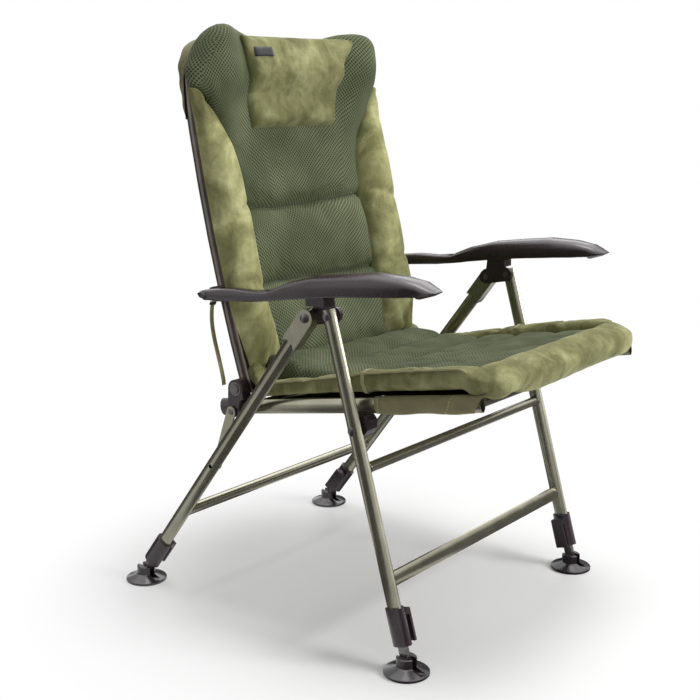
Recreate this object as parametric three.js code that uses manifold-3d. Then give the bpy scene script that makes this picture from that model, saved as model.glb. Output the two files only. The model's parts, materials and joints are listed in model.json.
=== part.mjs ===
// Folding carp fishing chair: padded seat and reclining back on an oval-tube frame, with
// telescopic legs on swivelling feet. Millimetres: X runs to the sitter's left, Y to the
// back and Z up, and the chair stands open, in use, with its back upright.
import * as THREE from "three";
import { mergeVertices } from "three/addons/utils/BufferGeometryUtils.js";
import Module from "manifold-3d";

const wasm = await Module();
wasm.setup();

// Clearances shared by the whole chair
const gap = 0.3;
const slideGap = 0.5;
const overrun = 2;

// Frame: where the legs stand and meet
const legSpacing = 582;
const frontFootY = -326;
const rearFootY = 319;
const ankleHeight = 20;
const hubBoltY = -161;
const hubBoltZ = 598;
const hubPivotBack = 47;
const hubPivotDrop = 9;

// Tubes
const tubeDepth = 28;
const tubeWidth = 16;
const tubeWall = 1.5;
const legTopBeyondBolt = 11;
const legEndAboveAnkle = 34;
const barDiameter = 18;
const barWall = 1.5;
const lowerBarDepth = 27;
const lowerBarWidth = 13;
const lowerBarHeight = 156;
const upperBarBelowPivot = 65;
const rearBarHeight = 169;
const rearBarDiameter = 21;

// Telescopic leg ends
const innerDepth = 22;
const innerWidth = 11;
const innerStart = 14;
const innerLength = 250;
const ankleRadius = 9;
const tongueTaper = 2;
const anklePinRadius = 3;
const clampStart = 30;
const clampLength = 66;
const clampWall = 4.5;
const lugReach = 8;
const lugHeight = 20;
const lugWidth = 10;
const leverLength = 58;
const leverWidth = 24;
const leverThickness = 5;
const leverWall = 3.5;
const leverPinRadius = 2;
const leverRise = 2.5;
const lugRound = 4;

// Feet
const footDiameter = 81;
const footRim = 5;
const footDome = 13;
const footBossDiameter = 36;
const footBossHeight = 31;
const footSlotFloor = 8;
const footEdgeRound = 1.5;

// Seat frame, measured from its pivot on the front legs, along and square to its rails
const seatPivotZ = 408;
const seatSlopeDegrees = 9.9;
const railInset = 29;
const railAbovePivot = 37.4;
const railFront = 241;
const railRear = 314;
const seatBarDiameter = 16;
const seatFrontBarInset = 9;
const seatRearBarRear = 258;
const capLength = 22;
const capInside = 4.5;
const capWall = 2.4;
const pivotBracketLength = 46;
const pivotBracketInset = 2.2;
const pivotBracketBossRadius = 15;

// Fabric of the seat
const slingThickness = 2;
const sleeveStart = 24;
const sleeveBeyondRail = 12;
const sleeveWall = 1.6;

// Back frame: it pivots at its foot, and its lean eases from bottom to top
const backPivotRear = 283;
const backPivotHeight = 35.5;
const backInset = 19;
const backTail = 13;
const backLength = 630;
const backLeanBottomDegrees = 18.4;
const backLeanTopDegrees = 7.8;
const backCornerRadius = 55;
const backSlingSag = 30;
const backSlingBottom = 24;
const hingePlateThickness = 6;
const hingeCheekRadius = 17;
const hingeEyeRadius = 12;
const hingeHoleRadius = 6.5;
const bushRadius = 6;
const hingeDrumRadius = 14;
const hingeFlangeRadius = 16;
const bushHeadRadius = 9;
const bushHeadHeight = 3.5;

// Side links between the seat and the rear legs
const linkPivotRear = 297;
const linkPivotBelow = 6;
const linkOnLeg = 390;
const linkWidth = 20;
const linkThickness = 3.2;
const linkFromLeg = 1.6;

// Bolts
const boltRadius = 4;
const boltHeadRadius = 8;
const boltHeadHeight = 4;
const boltNutShare = 0.8;
const boltTopShare = 0.6;

// Hub under each armrest
const hubDepth = 10;
const hubBlockWidth = 29;
const hubBlockLength = 40;
const hubBlockHeight = 20;
const hubRise = 14;
const hubBossRadius = 12;
const hubPinRadius = 3;
const hubPinSinkShare = 0.4;
const blockShoulderShare = 0.7;
const hubCheekRim = 2;
const socketWall = 2.4;
const socketLength = 58;
const socketRim = 2;

// Armrests
const armInset = 4.5;
const armBehindPivot = 19.9;
const armBelowPivot = 10.4;
const armLength = 526;
const armHeight = 90;
const armHalfWidth = 28;
const armWall = 4;
const armTopWall = 6;
const armPivotAlongBack = 179;
const armCavityRearShare = 0.11;
const armCavityFrontShare = 0.94;
const armCavityTopShare = 0.8;
const armPinRadius = 4;
const armPinHeadRadius = 7;
const armPinHeadHeight = 2.5;
const armCollarRadius = 13;
const rackThickness = 5;
const rackNotches = 5;
const rackPitch = 20;
const rackNotchRadius = 5;

// Cushions
const seatPadBeyondRail = 6;
const seatPadFront = 268;
const seatPadRear = 250;
const seatPadThickness = 44;
const seatPanelThickness = 33;
const seatPadLift = 0.3;
const seatUnderRound = 8;
const seatPadSettle = 1.2;
const seatRollWidth = 62;
const seatChannels = 4;
const channelDepth = 9;
const channelWidth = 26;
const seatCornerRadius = 46;
const padEdgeRound = 21;

const backPadBottom = 28;
const backPadAboveTube = 10;
const backEarRise = 24;
const backEarDrop = 70;
const backPadBeyondTube = 25;
const backPadFootNarrowing = 20;
const backEarFlare = 22;
const backEarStartShare = 0.75;
const backPanelThickness = 48;
const backBolsterRise = 20;
const backBolsterWidth = 78;
const backBolsterShare = 0.805;
const backEarBulge = 26;
const backEarPeakShare = 0.72;
const backPadFromTube = 3;
const backPadClear = 0.8;
const backChannelShares = [0.25, 0.5];
const backPadTopBlend = 55;

const pillowAbovePad = 2;
const pillowLength = 165;
const pillowHalfTop = 158;
const pillowHalfBottom = 116;
const pillowThickness = 40;
const pillowEdgeRound = 26;
const pillowClear = 3.1;
const pillowCrownDrop = 10;
const pillowMidShare = 0.3;

// Hanging strap behind the back
const strapWidth = 10;
const strapThickness = 2;
const strapFromTube = 10.5;
const strapSides = 8;
const strapDrop = 173;

// Facets
const tubeSides = 14;
const boltSides = 10;
const footSides = 24;
const backSteps = 6;
const cornerSteps = 3;
const padSpacing = 58;
const padEdgeShares = [0, 0.12, 0.42, 1];
const padMidShare = 0.43;

// Finishes
function finish(color, roughness, metalness) {
  return new THREE.MeshStandardMaterial({ color, roughness, metalness });
}
const frameFinish = finish(0x6a6a58, 0.38, 0.7);
const darkTubeFinish = finish(0x544d48, 0.4, 0.6);
const plasticFinish = finish(0x3b3139, 0.45, 0);
const boltFinish = finish(0x4a4448, 0.35, 0.8);
const nylonFinish = finish(0x625c3e, 0.85, 0);
const fleeceFinish = finish(0x96965c, 0.9, 0);
const meshFinish = finish(0x4d5843, 0.9, 0);
const webbingFinish = finish(0xa8965a, 0.85, 0);

// Turning a geometry into a solid for cutting and joining, and back
function toSolid(geometry) {
  const bare = new THREE.BufferGeometry();
  const plain = geometry.index ? geometry.toNonIndexed() : geometry;
  bare.setAttribute("position", plain.getAttribute("position"));
  const merged = mergeVertices(bare, 1e-4);
  return new wasm.Manifold(
    new wasm.Mesh({
      numProp: 3,
      vertProperties: merged.attributes.position.array,
      triVerts: new Uint32Array(merged.index.array),
    }),
  );
}

function toGeometry(body) {
  const mesh = body.getMesh();
  const geometry = new THREE.BufferGeometry();
  geometry.setAttribute("position", new THREE.BufferAttribute(mesh.vertProperties, mesh.numProp));
  geometry.setIndex(new THREE.BufferAttribute(mesh.triVerts, 1));
  return geometry;
}

function join(...geometries) {
  return toGeometry(geometries.map(toSolid).reduce((whole, next) => whole.add(next)));
}

function cut(geometry, ...tools) {
  return toGeometry(tools.map(toSolid).reduce((left, tool) => left.subtract(tool), toSolid(geometry)));
}

function common(geometry, other) {
  return toGeometry(toSolid(geometry).intersect(toSolid(other)));
}

// Rings of points, all alike in number, joined into one closed body: capped at both ends,
// or joined round from the last ring to the first. The faces are turned to point out.
function loft(rings, round = false) {
  const sides = rings[0].length;
  const points = rings.flat();
  const faces = [];
  const last = round ? rings.length : rings.length - 1;
  for (let i = 0; i < last; i += 1) {
    const j = (i + 1) % rings.length;
    for (let k = 0; k < sides; k += 1) {
      const m = (k + 1) % sides;
      const [a, b] = [i * sides + k, i * sides + m];
      const [c, d] = [j * sides + k, j * sides + m];
      faces.push(a, b, d, a, d, c);
    }
  }
  if (!round) {
    const top = (rings.length - 1) * sides;
    for (let k = 1; k < sides - 1; k += 1) {
      faces.push(0, k + 1, k, top, top + k, top + k + 1);
    }
  }
  let volume = 0;
  for (let i = 0; i < faces.length; i += 3) {
    const [a, b, c] = [points[faces[i]], points[faces[i + 1]], points[faces[i + 2]]];
    volume += a.dot(new THREE.Vector3().crossVectors(b, c));
  }
  if (volume < 0) {
    faces.reverse();
  }
  const geometry = new THREE.BufferGeometry().setFromPoints(points);
  geometry.setIndex(faces);
  return geometry;
}

// A flat oval or circle of points round a centre, spanned by two half axes
function ring(centre, halfA, halfB, sides = tubeSides) {
  const points = [];
  for (let k = 0; k < sides; k += 1) {
    const turn = (2 * Math.PI * k) / sides;
    const point = centre.clone();
    point.addScaledVector(halfA, Math.cos(turn));
    point.addScaledVector(halfB, Math.sin(turn));
    points.push(point);
  }
  return points;
}

const acrossAxis = new THREE.Vector3(1, 0, 0);

// A point of the side plane, given as (y, z), at a place across the chair
function at(x, side) {
  return new THREE.Vector3(x, side.x, side.y);
}

// A hollow straight tube in a side plane, its depth measured in that plane
function straightTube(x, from, to, depth, width, wall) {
  const along = to.clone().sub(from).normalize();
  const square = new THREE.Vector3(0, -along.y, along.x);
  const section = (end, inset) =>
    ring(
      at(x, end),
      square.clone().multiplyScalar(depth / 2 - inset),
      acrossAxis.clone().multiplyScalar(width / 2 - inset),
    );
  return loft([section(from, 0), section(to, 0), section(to, wall), section(from, wall)], true);
}

// A solid straight bar in a side plane
function straightBar(x, from, to, depth, width) {
  const along = to.clone().sub(from).normalize();
  const square = new THREE.Vector3(0, -along.y, along.x).multiplyScalar(depth / 2);
  const half = acrossAxis.clone().multiplyScalar(width / 2);
  return loft([ring(at(x, from), square, half), ring(at(x, to), square, half)]);
}

// A hollow bar across the chair, round or oval, its depth along a direction of the side plane
function crossTube(xa, xb, centre, depth, width, wall, direction = new THREE.Vector2(0, 1)) {
  const first = new THREE.Vector3(0, direction.x, direction.y);
  const second = new THREE.Vector3(0, -direction.y, direction.x);
  const section = (x, inset) =>
    ring(
      at(x, centre),
      first.clone().multiplyScalar(depth / 2 - inset),
      second.clone().multiplyScalar(width / 2 - inset),
    );
  return loft([section(xa, 0), section(xb, 0), section(xb, wall), section(xa, wall)], true);
}

// A round peg across the chair
function peg(xa, xb, centre, radius, sides = boltSides) {
  const up = new THREE.Vector3(0, 0, radius);
  const back = new THREE.Vector3(0, radius, 0);
  return loft([ring(at(xa, centre), up, back, sides), ring(at(xb, centre), up, back, sides)]);
}

// A peg of several diameters: a list of [x, radius], where x runs one way
function steppedPeg(centre, steps, sides = boltSides) {
  const rings = steps.map(([x, radius]) =>
    ring(at(x, centre), new THREE.Vector3(0, 0, radius), new THREE.Vector3(0, radius, 0), sides),
  );
  return loft(rings);
}

// A side outline of (y, z) points, stood between two places across the chair
function plate(outline, xa, xb) {
  const low = Math.min(xa, xb);
  const shape = new THREE.Shape(outline);
  const geometry = new THREE.ExtrudeGeometry(shape, { depth: Math.abs(xb - xa), bevelEnabled: false });
  const basis = new THREE.Matrix4().makeBasis(
    new THREE.Vector3(0, 1, 0),
    new THREE.Vector3(0, 0, 1),
    new THREE.Vector3(1, 0, 0),
  );
  basis.setPosition(low, 0, 0);
  return geometry.applyMatrix4(basis);
}

// The outline round two circles: a strap of the side plane with round ends
function strapOutline(a, radiusA, b, radiusB, steps = 8) {
  const along = b.clone().sub(a);
  const heading = along.angle();
  const lean = Math.acos((radiusA - radiusB) / along.length());
  const points = [];
  for (let k = 0; k <= steps; k += 1) {
    const turn = heading + lean + ((2 * Math.PI - 2 * lean) * k) / steps;
    points.push(new THREE.Vector2(a.x + radiusA * Math.cos(turn), a.y + radiusA * Math.sin(turn)));
  }
  for (let k = 0; k <= steps; k += 1) {
    const turn = heading - lean + (2 * lean * k) / steps;
    points.push(new THREE.Vector2(b.x + radiusB * Math.cos(turn), b.y + radiusB * Math.sin(turn)));
  }
  return points;
}

// Places in the side plane, as (y, z)
const hubBolt = new THREE.Vector2(hubBoltY, hubBoltZ);
const hubPivot = new THREE.Vector2(hubBoltY + hubPivotBack, hubBoltZ - hubPivotDrop);
const frontAnkle = new THREE.Vector2(frontFootY, ankleHeight);
const rearAnkle = new THREE.Vector2(rearFootY, ankleHeight);
const frontLegUp = hubBolt.clone().sub(frontAnkle).normalize();
const rearLegUp = hubPivot.clone().sub(rearAnkle).normalize();
const legX = legSpacing / 2;
const railX = legX - railInset;
const backX = railX - backInset;
const armX = legX - armInset;
const legInnerX = legX - tubeWidth / 2;
const legOuterX = legX + tubeWidth / 2;
const hubInnerX = legInnerX - hubDepth;
const linkLayer = legInnerX - linkFromLeg - linkThickness;
const strapLayer = backX + tubeWidth / 2 + strapFromTube;
// Wide enough for the drum's corners to turn clear of the hole's flats
const drumHoleRadius = (hingeDrumRadius + gap) / Math.cos(Math.PI / boltSides);

function alongLeg(ankle, up, distance) {
  return ankle.clone().addScaledVector(up, distance);
}

function atHeight(ankle, up, height) {
  return alongLeg(ankle, up, (height - ankle.y) / up.y);
}

const seatSlope = THREE.MathUtils.degToRad(seatSlopeDegrees);
const seatForward = new THREE.Vector2(-Math.cos(seatSlope), Math.sin(seatSlope));
const seatUp = new THREE.Vector2(Math.sin(seatSlope), Math.cos(seatSlope));
const seatPivot = atHeight(frontAnkle, frontLegUp, seatPivotZ);
const railOrigin = seatPivot.clone().addScaledVector(seatUp, railAbovePivot);

// A place on the seat: forwards along the rails, and up square to them from their centre
function onSeat(forward, up) {
  return railOrigin.clone().addScaledVector(seatForward, forward).addScaledVector(seatUp, up);
}

const backPivot = onSeat(-backPivotRear, backPivotHeight);
const linkPivot = onSeat(-linkPivotRear, -linkPivotBelow);
const linkFoot = hubPivot.clone().addScaledVector(rearLegUp, -linkOnLeg);

const leanBottom = THREE.MathUtils.degToRad(backLeanBottomDegrees);
const leanTop = THREE.MathUtils.degToRad(backLeanTopDegrees);
const leanRate = (leanTop - leanBottom) / backLength;

// The back tubes' centre line, an arc: its place and lean at a distance up from the pivot
function backLean(up) {
  return leanBottom + leanRate * up;
}

function onBack(up, forward = 0) {
  const lean = backLean(up);
  const radius = 1 / leanRate;
  const place = backPivot.clone();
  place.x += (Math.cos(leanBottom) - Math.cos(lean)) * radius;
  place.y += (Math.sin(lean) - Math.sin(leanBottom)) * radius;
  return place.add(new THREE.Vector2(-Math.cos(lean), Math.sin(lean)).multiplyScalar(forward));
}

const armPivot = onBack(armPivotAlongBack);

const chair = new THREE.Group();
chair.name = "carp_fishing_chair";

function add(name, geometry, material, holder = chair) {
  const mesh = new THREE.Mesh(geometry, material);
  mesh.name = name;
  holder.add(mesh);
  return mesh;
}

const sides = [
  ["left", 1],
  ["right", -1],
];

// A bolt with its nut: the shaft runs from inside to outside, with a washer between layers
function bolt(name, side, centre, innerX, outerX) {
  const steps = [
    [innerX - gap - boltHeadHeight, boltHeadRadius * boltNutShare],
    [innerX - gap, boltHeadRadius * boltNutShare],
    [innerX - gap, boltRadius],
    [outerX + gap, boltRadius],
    [outerX + gap, boltHeadRadius],
    [outerX + gap + boltHeadHeight * boltTopShare, boltHeadRadius],
    [outerX + gap + boltHeadHeight, boltHeadRadius * boltTopShare],
  ].map(([x, radius]) => [side * x, radius]);
  add(name, steppedPeg(centre, steps), boltFinish);
}

// A round recess for a bolt's inner head
function headRecess(side, innerX, centre) {
  return peg(
    side * (innerX - overrun),
    side * (innerX + boltHeadHeight + 2 * gap),
    centre,
    boltHeadRadius * boltNutShare + gap,
  );
}

function boltHole(centre) {
  const reach = legOuterX + boltHeadHeight + overrun;
  return [-1, 1].map((side) =>
    peg(side * (railX - tubeWidth), side * reach, centre, boltRadius + gap),
  );
}

// Legs: the front pair carries two bars, the rear pair one
for (const [word, side] of sides) {
  const x = side * legX;
  const frontTube = straightTube(
    x,
    alongLeg(frontAnkle, frontLegUp, legEndAboveAnkle),
    hubBolt.clone().addScaledVector(frontLegUp, legTopBeyondBolt),
    tubeDepth,
    tubeWidth,
    tubeWall,
  );
  add(`front_leg_${word}`, cut(frontTube, ...boltHole(hubBolt), ...boltHole(seatPivot)), frameFinish);

  const rearTube = straightTube(
    x,
    alongLeg(rearAnkle, rearLegUp, legEndAboveAnkle),
    hubPivot.clone().addScaledVector(rearLegUp, boltRadius),
    tubeDepth,
    tubeWidth,
    tubeWall,
  );
  add(`rear_leg_${word}`, cut(rearTube, ...boltHole(hubPivot), ...boltHole(linkFoot)), frameFinish);
}

const legToLeg = legInnerX - gap;
const lowerBarPlace = atHeight(frontAnkle, frontLegUp, lowerBarHeight);
const upperBarPlace = atHeight(frontAnkle, frontLegUp, seatPivotZ - upperBarBelowPivot);
const rearBarPlace = atHeight(rearAnkle, rearLegUp, rearBarHeight);
add(
  "lower_front_bar",
  crossTube(-legToLeg, legToLeg, lowerBarPlace, lowerBarDepth, lowerBarWidth, barWall, frontLegUp),
  frameFinish,
);
add(
  "upper_front_bar",
  crossTube(-legToLeg, legToLeg, upperBarPlace, barDiameter, barDiameter, barWall),
  frameFinish,
);
add(
  "rear_bar",
  crossTube(-legToLeg, legToLeg, rearBarPlace, rearBarDiameter, rearBarDiameter, barWall),
  frameFinish,
);

// Leg ends: each leg's frame has its origin at the ankle and its Z up along the leg
const legEnds = sides.flatMap(([word, side]) => [
  [`front_${word}`, side, frontAnkle, frontLegUp],
  [`rear_${word}`, side, rearAnkle, rearLegUp],
]);

function clampBody(inward) {
  const halfX = acrossAxis.clone().multiplyScalar(tubeWidth / 2 + clampWall);
  const halfY = new THREE.Vector3(0, tubeDepth / 2 + clampWall, 0);
  const section = (z) => ring(new THREE.Vector3(0, 0, z), halfY, halfX);
  const sleeve = loft([section(clampStart), section(clampStart + clampLength)]);
  const boreX = acrossAxis.clone().multiplyScalar(tubeWidth / 2 + gap);
  const boreY = new THREE.Vector3(0, tubeDepth / 2 + gap, 0);
  const hollow = (z) => ring(new THREE.Vector3(0, 0, z), boreY, boreX);
  const bore = loft([hollow(clampStart - overrun), hollow(clampStart + clampLength + overrun)]);
  const lugDepth = leverPivotX - tubeWidth / 2;
  const lug = new THREE.BoxGeometry(lugDepth, lugWidth, lugHeight);
  lug.translate(inward * (tubeWidth / 2 + lugDepth / 2), 0, leverPivotHeight + lugRound - lugHeight / 2);
  const knuckle = leverPin(inward, lugRound, lugWidth);
  return cut(join(sleeve, lug, knuckle), bore, leverPin(inward, leverPinRadius + gap, leverWidth));
}

const leverPivotHeight = clampStart + clampLength - lugHeight / 2;
const leverPivotX = tubeWidth / 2 + clampWall + lugReach / 2;

function leverPin(inward, radius, length) {
  const pin = new THREE.CylinderGeometry(radius, radius, length, boltSides);
  return pin.translate(inward * leverPivotX, 0, leverPivotHeight);
}

// A flip lever: a plate with two ears that hold the lug between them on a pin
function clampLever(inward) {
  const faceX = tubeWidth / 2 + clampWall + lugReach + gap;
  const plateCentre = leverPivotHeight + leverRise - leverLength / 2;
  const face = new THREE.BoxGeometry(leverThickness, leverWidth, leverLength);
  face.translate(inward * (faceX + leverThickness / 2), 0, plateCentre);
  const earDepth = lugReach - gap;
  const earHeight = lugHeight / 2;
  const ears = [-1, 1].map((end) => {
    const ear = new THREE.BoxGeometry(earDepth + overrun, leverWall, earHeight);
    const earX = faceX - earDepth / 2 + overrun / 2;
    const earY = end * (leverWidth / 2 - leverWall / 2);
    return ear.translate(inward * earX, earY, leverPivotHeight + leverRise - earHeight / 2);
  });
  return join(face, ...ears, leverPin(inward, leverPinRadius, leverWidth));
}

// The inner leg: a smaller oval with a round tongue at the ankle
function innerLeg() {
  const halfX = acrossAxis.clone().multiplyScalar(innerWidth / 2);
  const halfY = new THREE.Vector3(0, innerDepth / 2, 0);
  const section = (z) => ring(new THREE.Vector3(0, 0, z), halfY, halfX);
  const rod = loft([section(innerStart), section(innerStart + innerLength)]);
  const top = new THREE.Vector2(0, innerStart + ankleRadius);
  const tongue = plate(
    strapOutline(new THREE.Vector2(), ankleRadius, top, ankleRadius - tongueTaper),
    -innerWidth / 2 + gap,
    innerWidth / 2 - gap,
  );
  const eye = peg(-innerWidth, innerWidth, new THREE.Vector2(), anklePinRadius + gap);
  return cut(join(rod, tongue), eye);
}

function foot() {
  const radius = footDiameter / 2;
  const boss = footBossDiameter / 2;
  const profile = [
    [0, 0],
    [radius - footEdgeRound, 0],
    [radius, footEdgeRound],
    [radius, footRim],
    [radius - footEdgeRound, footRim + footEdgeRound],
    [boss + footEdgeRound, footDome],
    [boss, footDome + footEdgeRound],
    [boss, footBossHeight - footEdgeRound],
    [boss - footEdgeRound, footBossHeight],
    [0, footBossHeight],
  ].map(([r, z]) => new THREE.Vector2(r, z));
  const body = new THREE.LatheGeometry(profile, footSides).rotateX(Math.PI / 2);
  const slotWidth = innerWidth + 2 * slideGap;
  const slotHeight = footBossHeight - footSlotFloor + overrun;
  const slot = new THREE.BoxGeometry(slotWidth, footDiameter + overrun, slotHeight);
  slot.translate(0, 0, footSlotFloor + slotHeight / 2);
  const pin = peg(-boss + overrun, boss - overrun, new THREE.Vector2(0, ankleHeight), anklePinRadius);
  return join(cut(body, slot), pin);
}

for (const [place, side, ankle, up] of legEnds) {
  const holder = new THREE.Group();
  holder.position.set(side * legX, ankle.x, ankle.y);
  holder.rotation.x = -Math.atan2(up.x, up.y);
  chair.add(holder);
  add(`leg_clamp_${place}`, clampBody(-side), plasticFinish, holder);
  add(`clamp_lever_${place}`, clampLever(-side), plasticFinish, holder);
  add(`inner_leg_${place}`, innerLeg(), frameFinish, holder);
  const sole = add(`foot_${place}`, foot(), plasticFinish);
  sole.position.set(side * legX, ankle.x, 0);
}

// Hubs: each joins a front leg to the rear leg's pivot and carries the armrest on its block
const armTrack = new THREE.Vector2((hubBolt.x + hubPivot.x) / 2, hubBoltZ + hubRise).sub(armPivot);
const trackForward = armTrack.clone().normalize();
const trackUp = new THREE.Vector2(trackForward.y, -trackForward.x);

// A place on the armrest's track: forwards from its rear pivot, and up from the track line
function onTrack(forward, up) {
  return armPivot.clone().addScaledVector(trackForward, forward).addScaledVector(trackUp, up);
}

const socketRadius = tubeDepth / 2 + socketWall;
const hubCheekOuterX = legInnerX - socketWall - gap;
for (const [word, side] of sides) {
  const innerX = side * hubInnerX;
  const centre = armTrack.length();
  const half = hubBlockLength / 2;
  const block = [
    onTrack(centre - half, gap),
    onTrack(centre + half, gap),
    onTrack(centre + half, hubBlockHeight * blockShoulderShare),
    onTrack(centre + half * blockShoulderShare, hubBlockHeight),
    onTrack(centre - half * blockShoulderShare, hubBlockHeight),
    onTrack(centre - half, hubBlockHeight * blockShoulderShare),
  ];
  const cheekRadius = hubBossRadius + hubCheekRim;
  const cheek = strapOutline(hubPivot, cheekRadius, hubBolt, cheekRadius);
  const neckBottom = hubBolt.clone().add(hubPivot).divideScalar(2);
  const neck = [
    onTrack(centre - half, hubBlockHeight / 2),
    onTrack(centre + half, hubBlockHeight / 2),
    neckBottom.clone().setX(hubBolt.x),
    neckBottom.clone().setX(hubPivot.x),
  ];
  const blockPin = onTrack(centre, hubBlockHeight - hubPinRadius * hubPinSinkShare);
  const hub = join(
    plate(block, innerX, side * (hubInnerX + hubBlockWidth)),
    plate(cheek, innerX, side * hubCheekOuterX),
    plate(neck, innerX, side * hubCheekOuterX),
    peg(innerX, side * (legInnerX - gap), hubBolt, hubBossRadius),
    peg(innerX, side * (hubInnerX + hubBlockWidth), blockPin, hubPinRadius),
  );
  const recesses = [hubBolt, hubPivot].map((centre) => headRecess(side, hubInnerX, centre));
  const holes = [...recesses, ...boltHole(hubBolt), ...boltHole(hubPivot)];
  add(`hub_bracket_${word}`, cut(hub, ...holes), plasticFinish);
  const headSeat = hubInnerX + boltHeadHeight + 2 * gap;
  bolt(`hub_bolt_${word}`, side, hubBolt, headSeat, legOuterX);

  const socketInner = side * (legInnerX - socketWall);
  const socketOuter = side * (legOuterX + socketWall);
  const socketEnd = hubPivot.clone().addScaledVector(rearLegUp, -socketLength);
  const socket = plate(
    strapOutline(hubPivot, socketRadius, socketEnd, socketRadius - gap),
    socketInner,
    socketOuter,
  );
  const trim = plate(
    strapOutline(
      socketEnd.clone().addScaledVector(rearLegUp, -socketRadius),
      socketRadius + socketRim,
      socketEnd.clone().addScaledVector(rearLegUp, -socketRadius - socketRim),
      socketRadius + socketRim - gap,
    ),
    side * (legInnerX - socketWall - socketRim),
    side * (legOuterX + socketWall + socketRim),
  );
  const bore = straightBar(
    side * legX,
    socketEnd.clone().addScaledVector(rearLegUp, -socketRadius - overrun),
    hubPivot.clone().addScaledVector(rearLegUp, boltRadius + gap),
    tubeDepth + 2 * gap,
    tubeWidth + 2 * gap,
  );
  add(`rear_leg_socket_${word}`, cut(socket, trim, bore, ...boltHole(hubPivot)), plasticFinish);
  bolt(`hub_pivot_bolt_${word}`, side, hubPivot, headSeat, legOuterX + socketWall);
}

// Seat frame
const railInnerX = railX - tubeWidth / 2;
const railOuterX = railX + tubeWidth / 2;
const bracketInnerX = railInnerX + pivotBracketInset;
for (const [word, side] of sides) {
  const rail = straightTube(
    side * railX,
    onSeat(-railRear, 0),
    onSeat(railFront, 0),
    tubeDepth,
    tubeWidth,
    tubeWall,
  );
  const linkHole = peg(side * railInnerX - side * overrun, side * linkLayer, linkPivot, boltRadius + gap);
  add(`seat_rail_${word}`, cut(rail, linkHole), frameFinish);

  const capStart = onSeat(-railRear + capInside, 0);
  const capEnd = onSeat(-railRear - capLength + capInside, 0);
  const capBody = straightBar(
    side * railX,
    capStart,
    capEnd,
    tubeDepth + 2 * capWall,
    tubeWidth + 2 * capWall,
  );
  const capBore = straightBar(
    side * railX,
    onSeat(-railRear + capInside + overrun, 0),
    onSeat(-railRear - gap, 0),
    tubeDepth + 2 * gap,
    tubeWidth + 2 * gap,
  );
  add(`rail_end_cap_${word}`, cut(capBody, capBore), plasticFinish);

  const bracketTop = -tubeDepth / 2 - gap;
  const half = pivotBracketLength / 2;
  const outline = strapOutline(seatPivot, pivotBracketBossRadius, onSeat(0, bracketTop * 2), half);
  const block = plate(outline, side * bracketInnerX, side * (legInnerX - gap));
  const above = new THREE.Vector2(bracketTop, bracketTop + tubeDepth);
  const headroom = plate(
    [
      onSeat(-half * 2, above.x),
      onSeat(half * 2, above.x),
      onSeat(half * 2, above.y),
      onSeat(-half * 2, above.y),
    ],
    side * (bracketInnerX - overrun),
    side * (legInnerX + overrun),
  );
  add(
    `seat_pivot_bracket_${word}`,
    cut(block, headroom, ...boltHole(seatPivot)),
    plasticFinish,
  );
  bolt(`seat_pivot_bolt_${word}`, side, seatPivot, bracketInnerX, legOuterX);
}

const betweenRails = railInnerX - gap;
for (const [name, forward] of [
  ["seat_front_bar", railFront - seatFrontBarInset],
  ["seat_rear_bar", -seatRearBarRear],
]) {
  add(
    name,
    crossTube(-betweenRails, betweenRails, onSeat(forward, 0), seatBarDiameter, seatBarDiameter, barWall),
    darkTubeFinish,
  );
}

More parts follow.
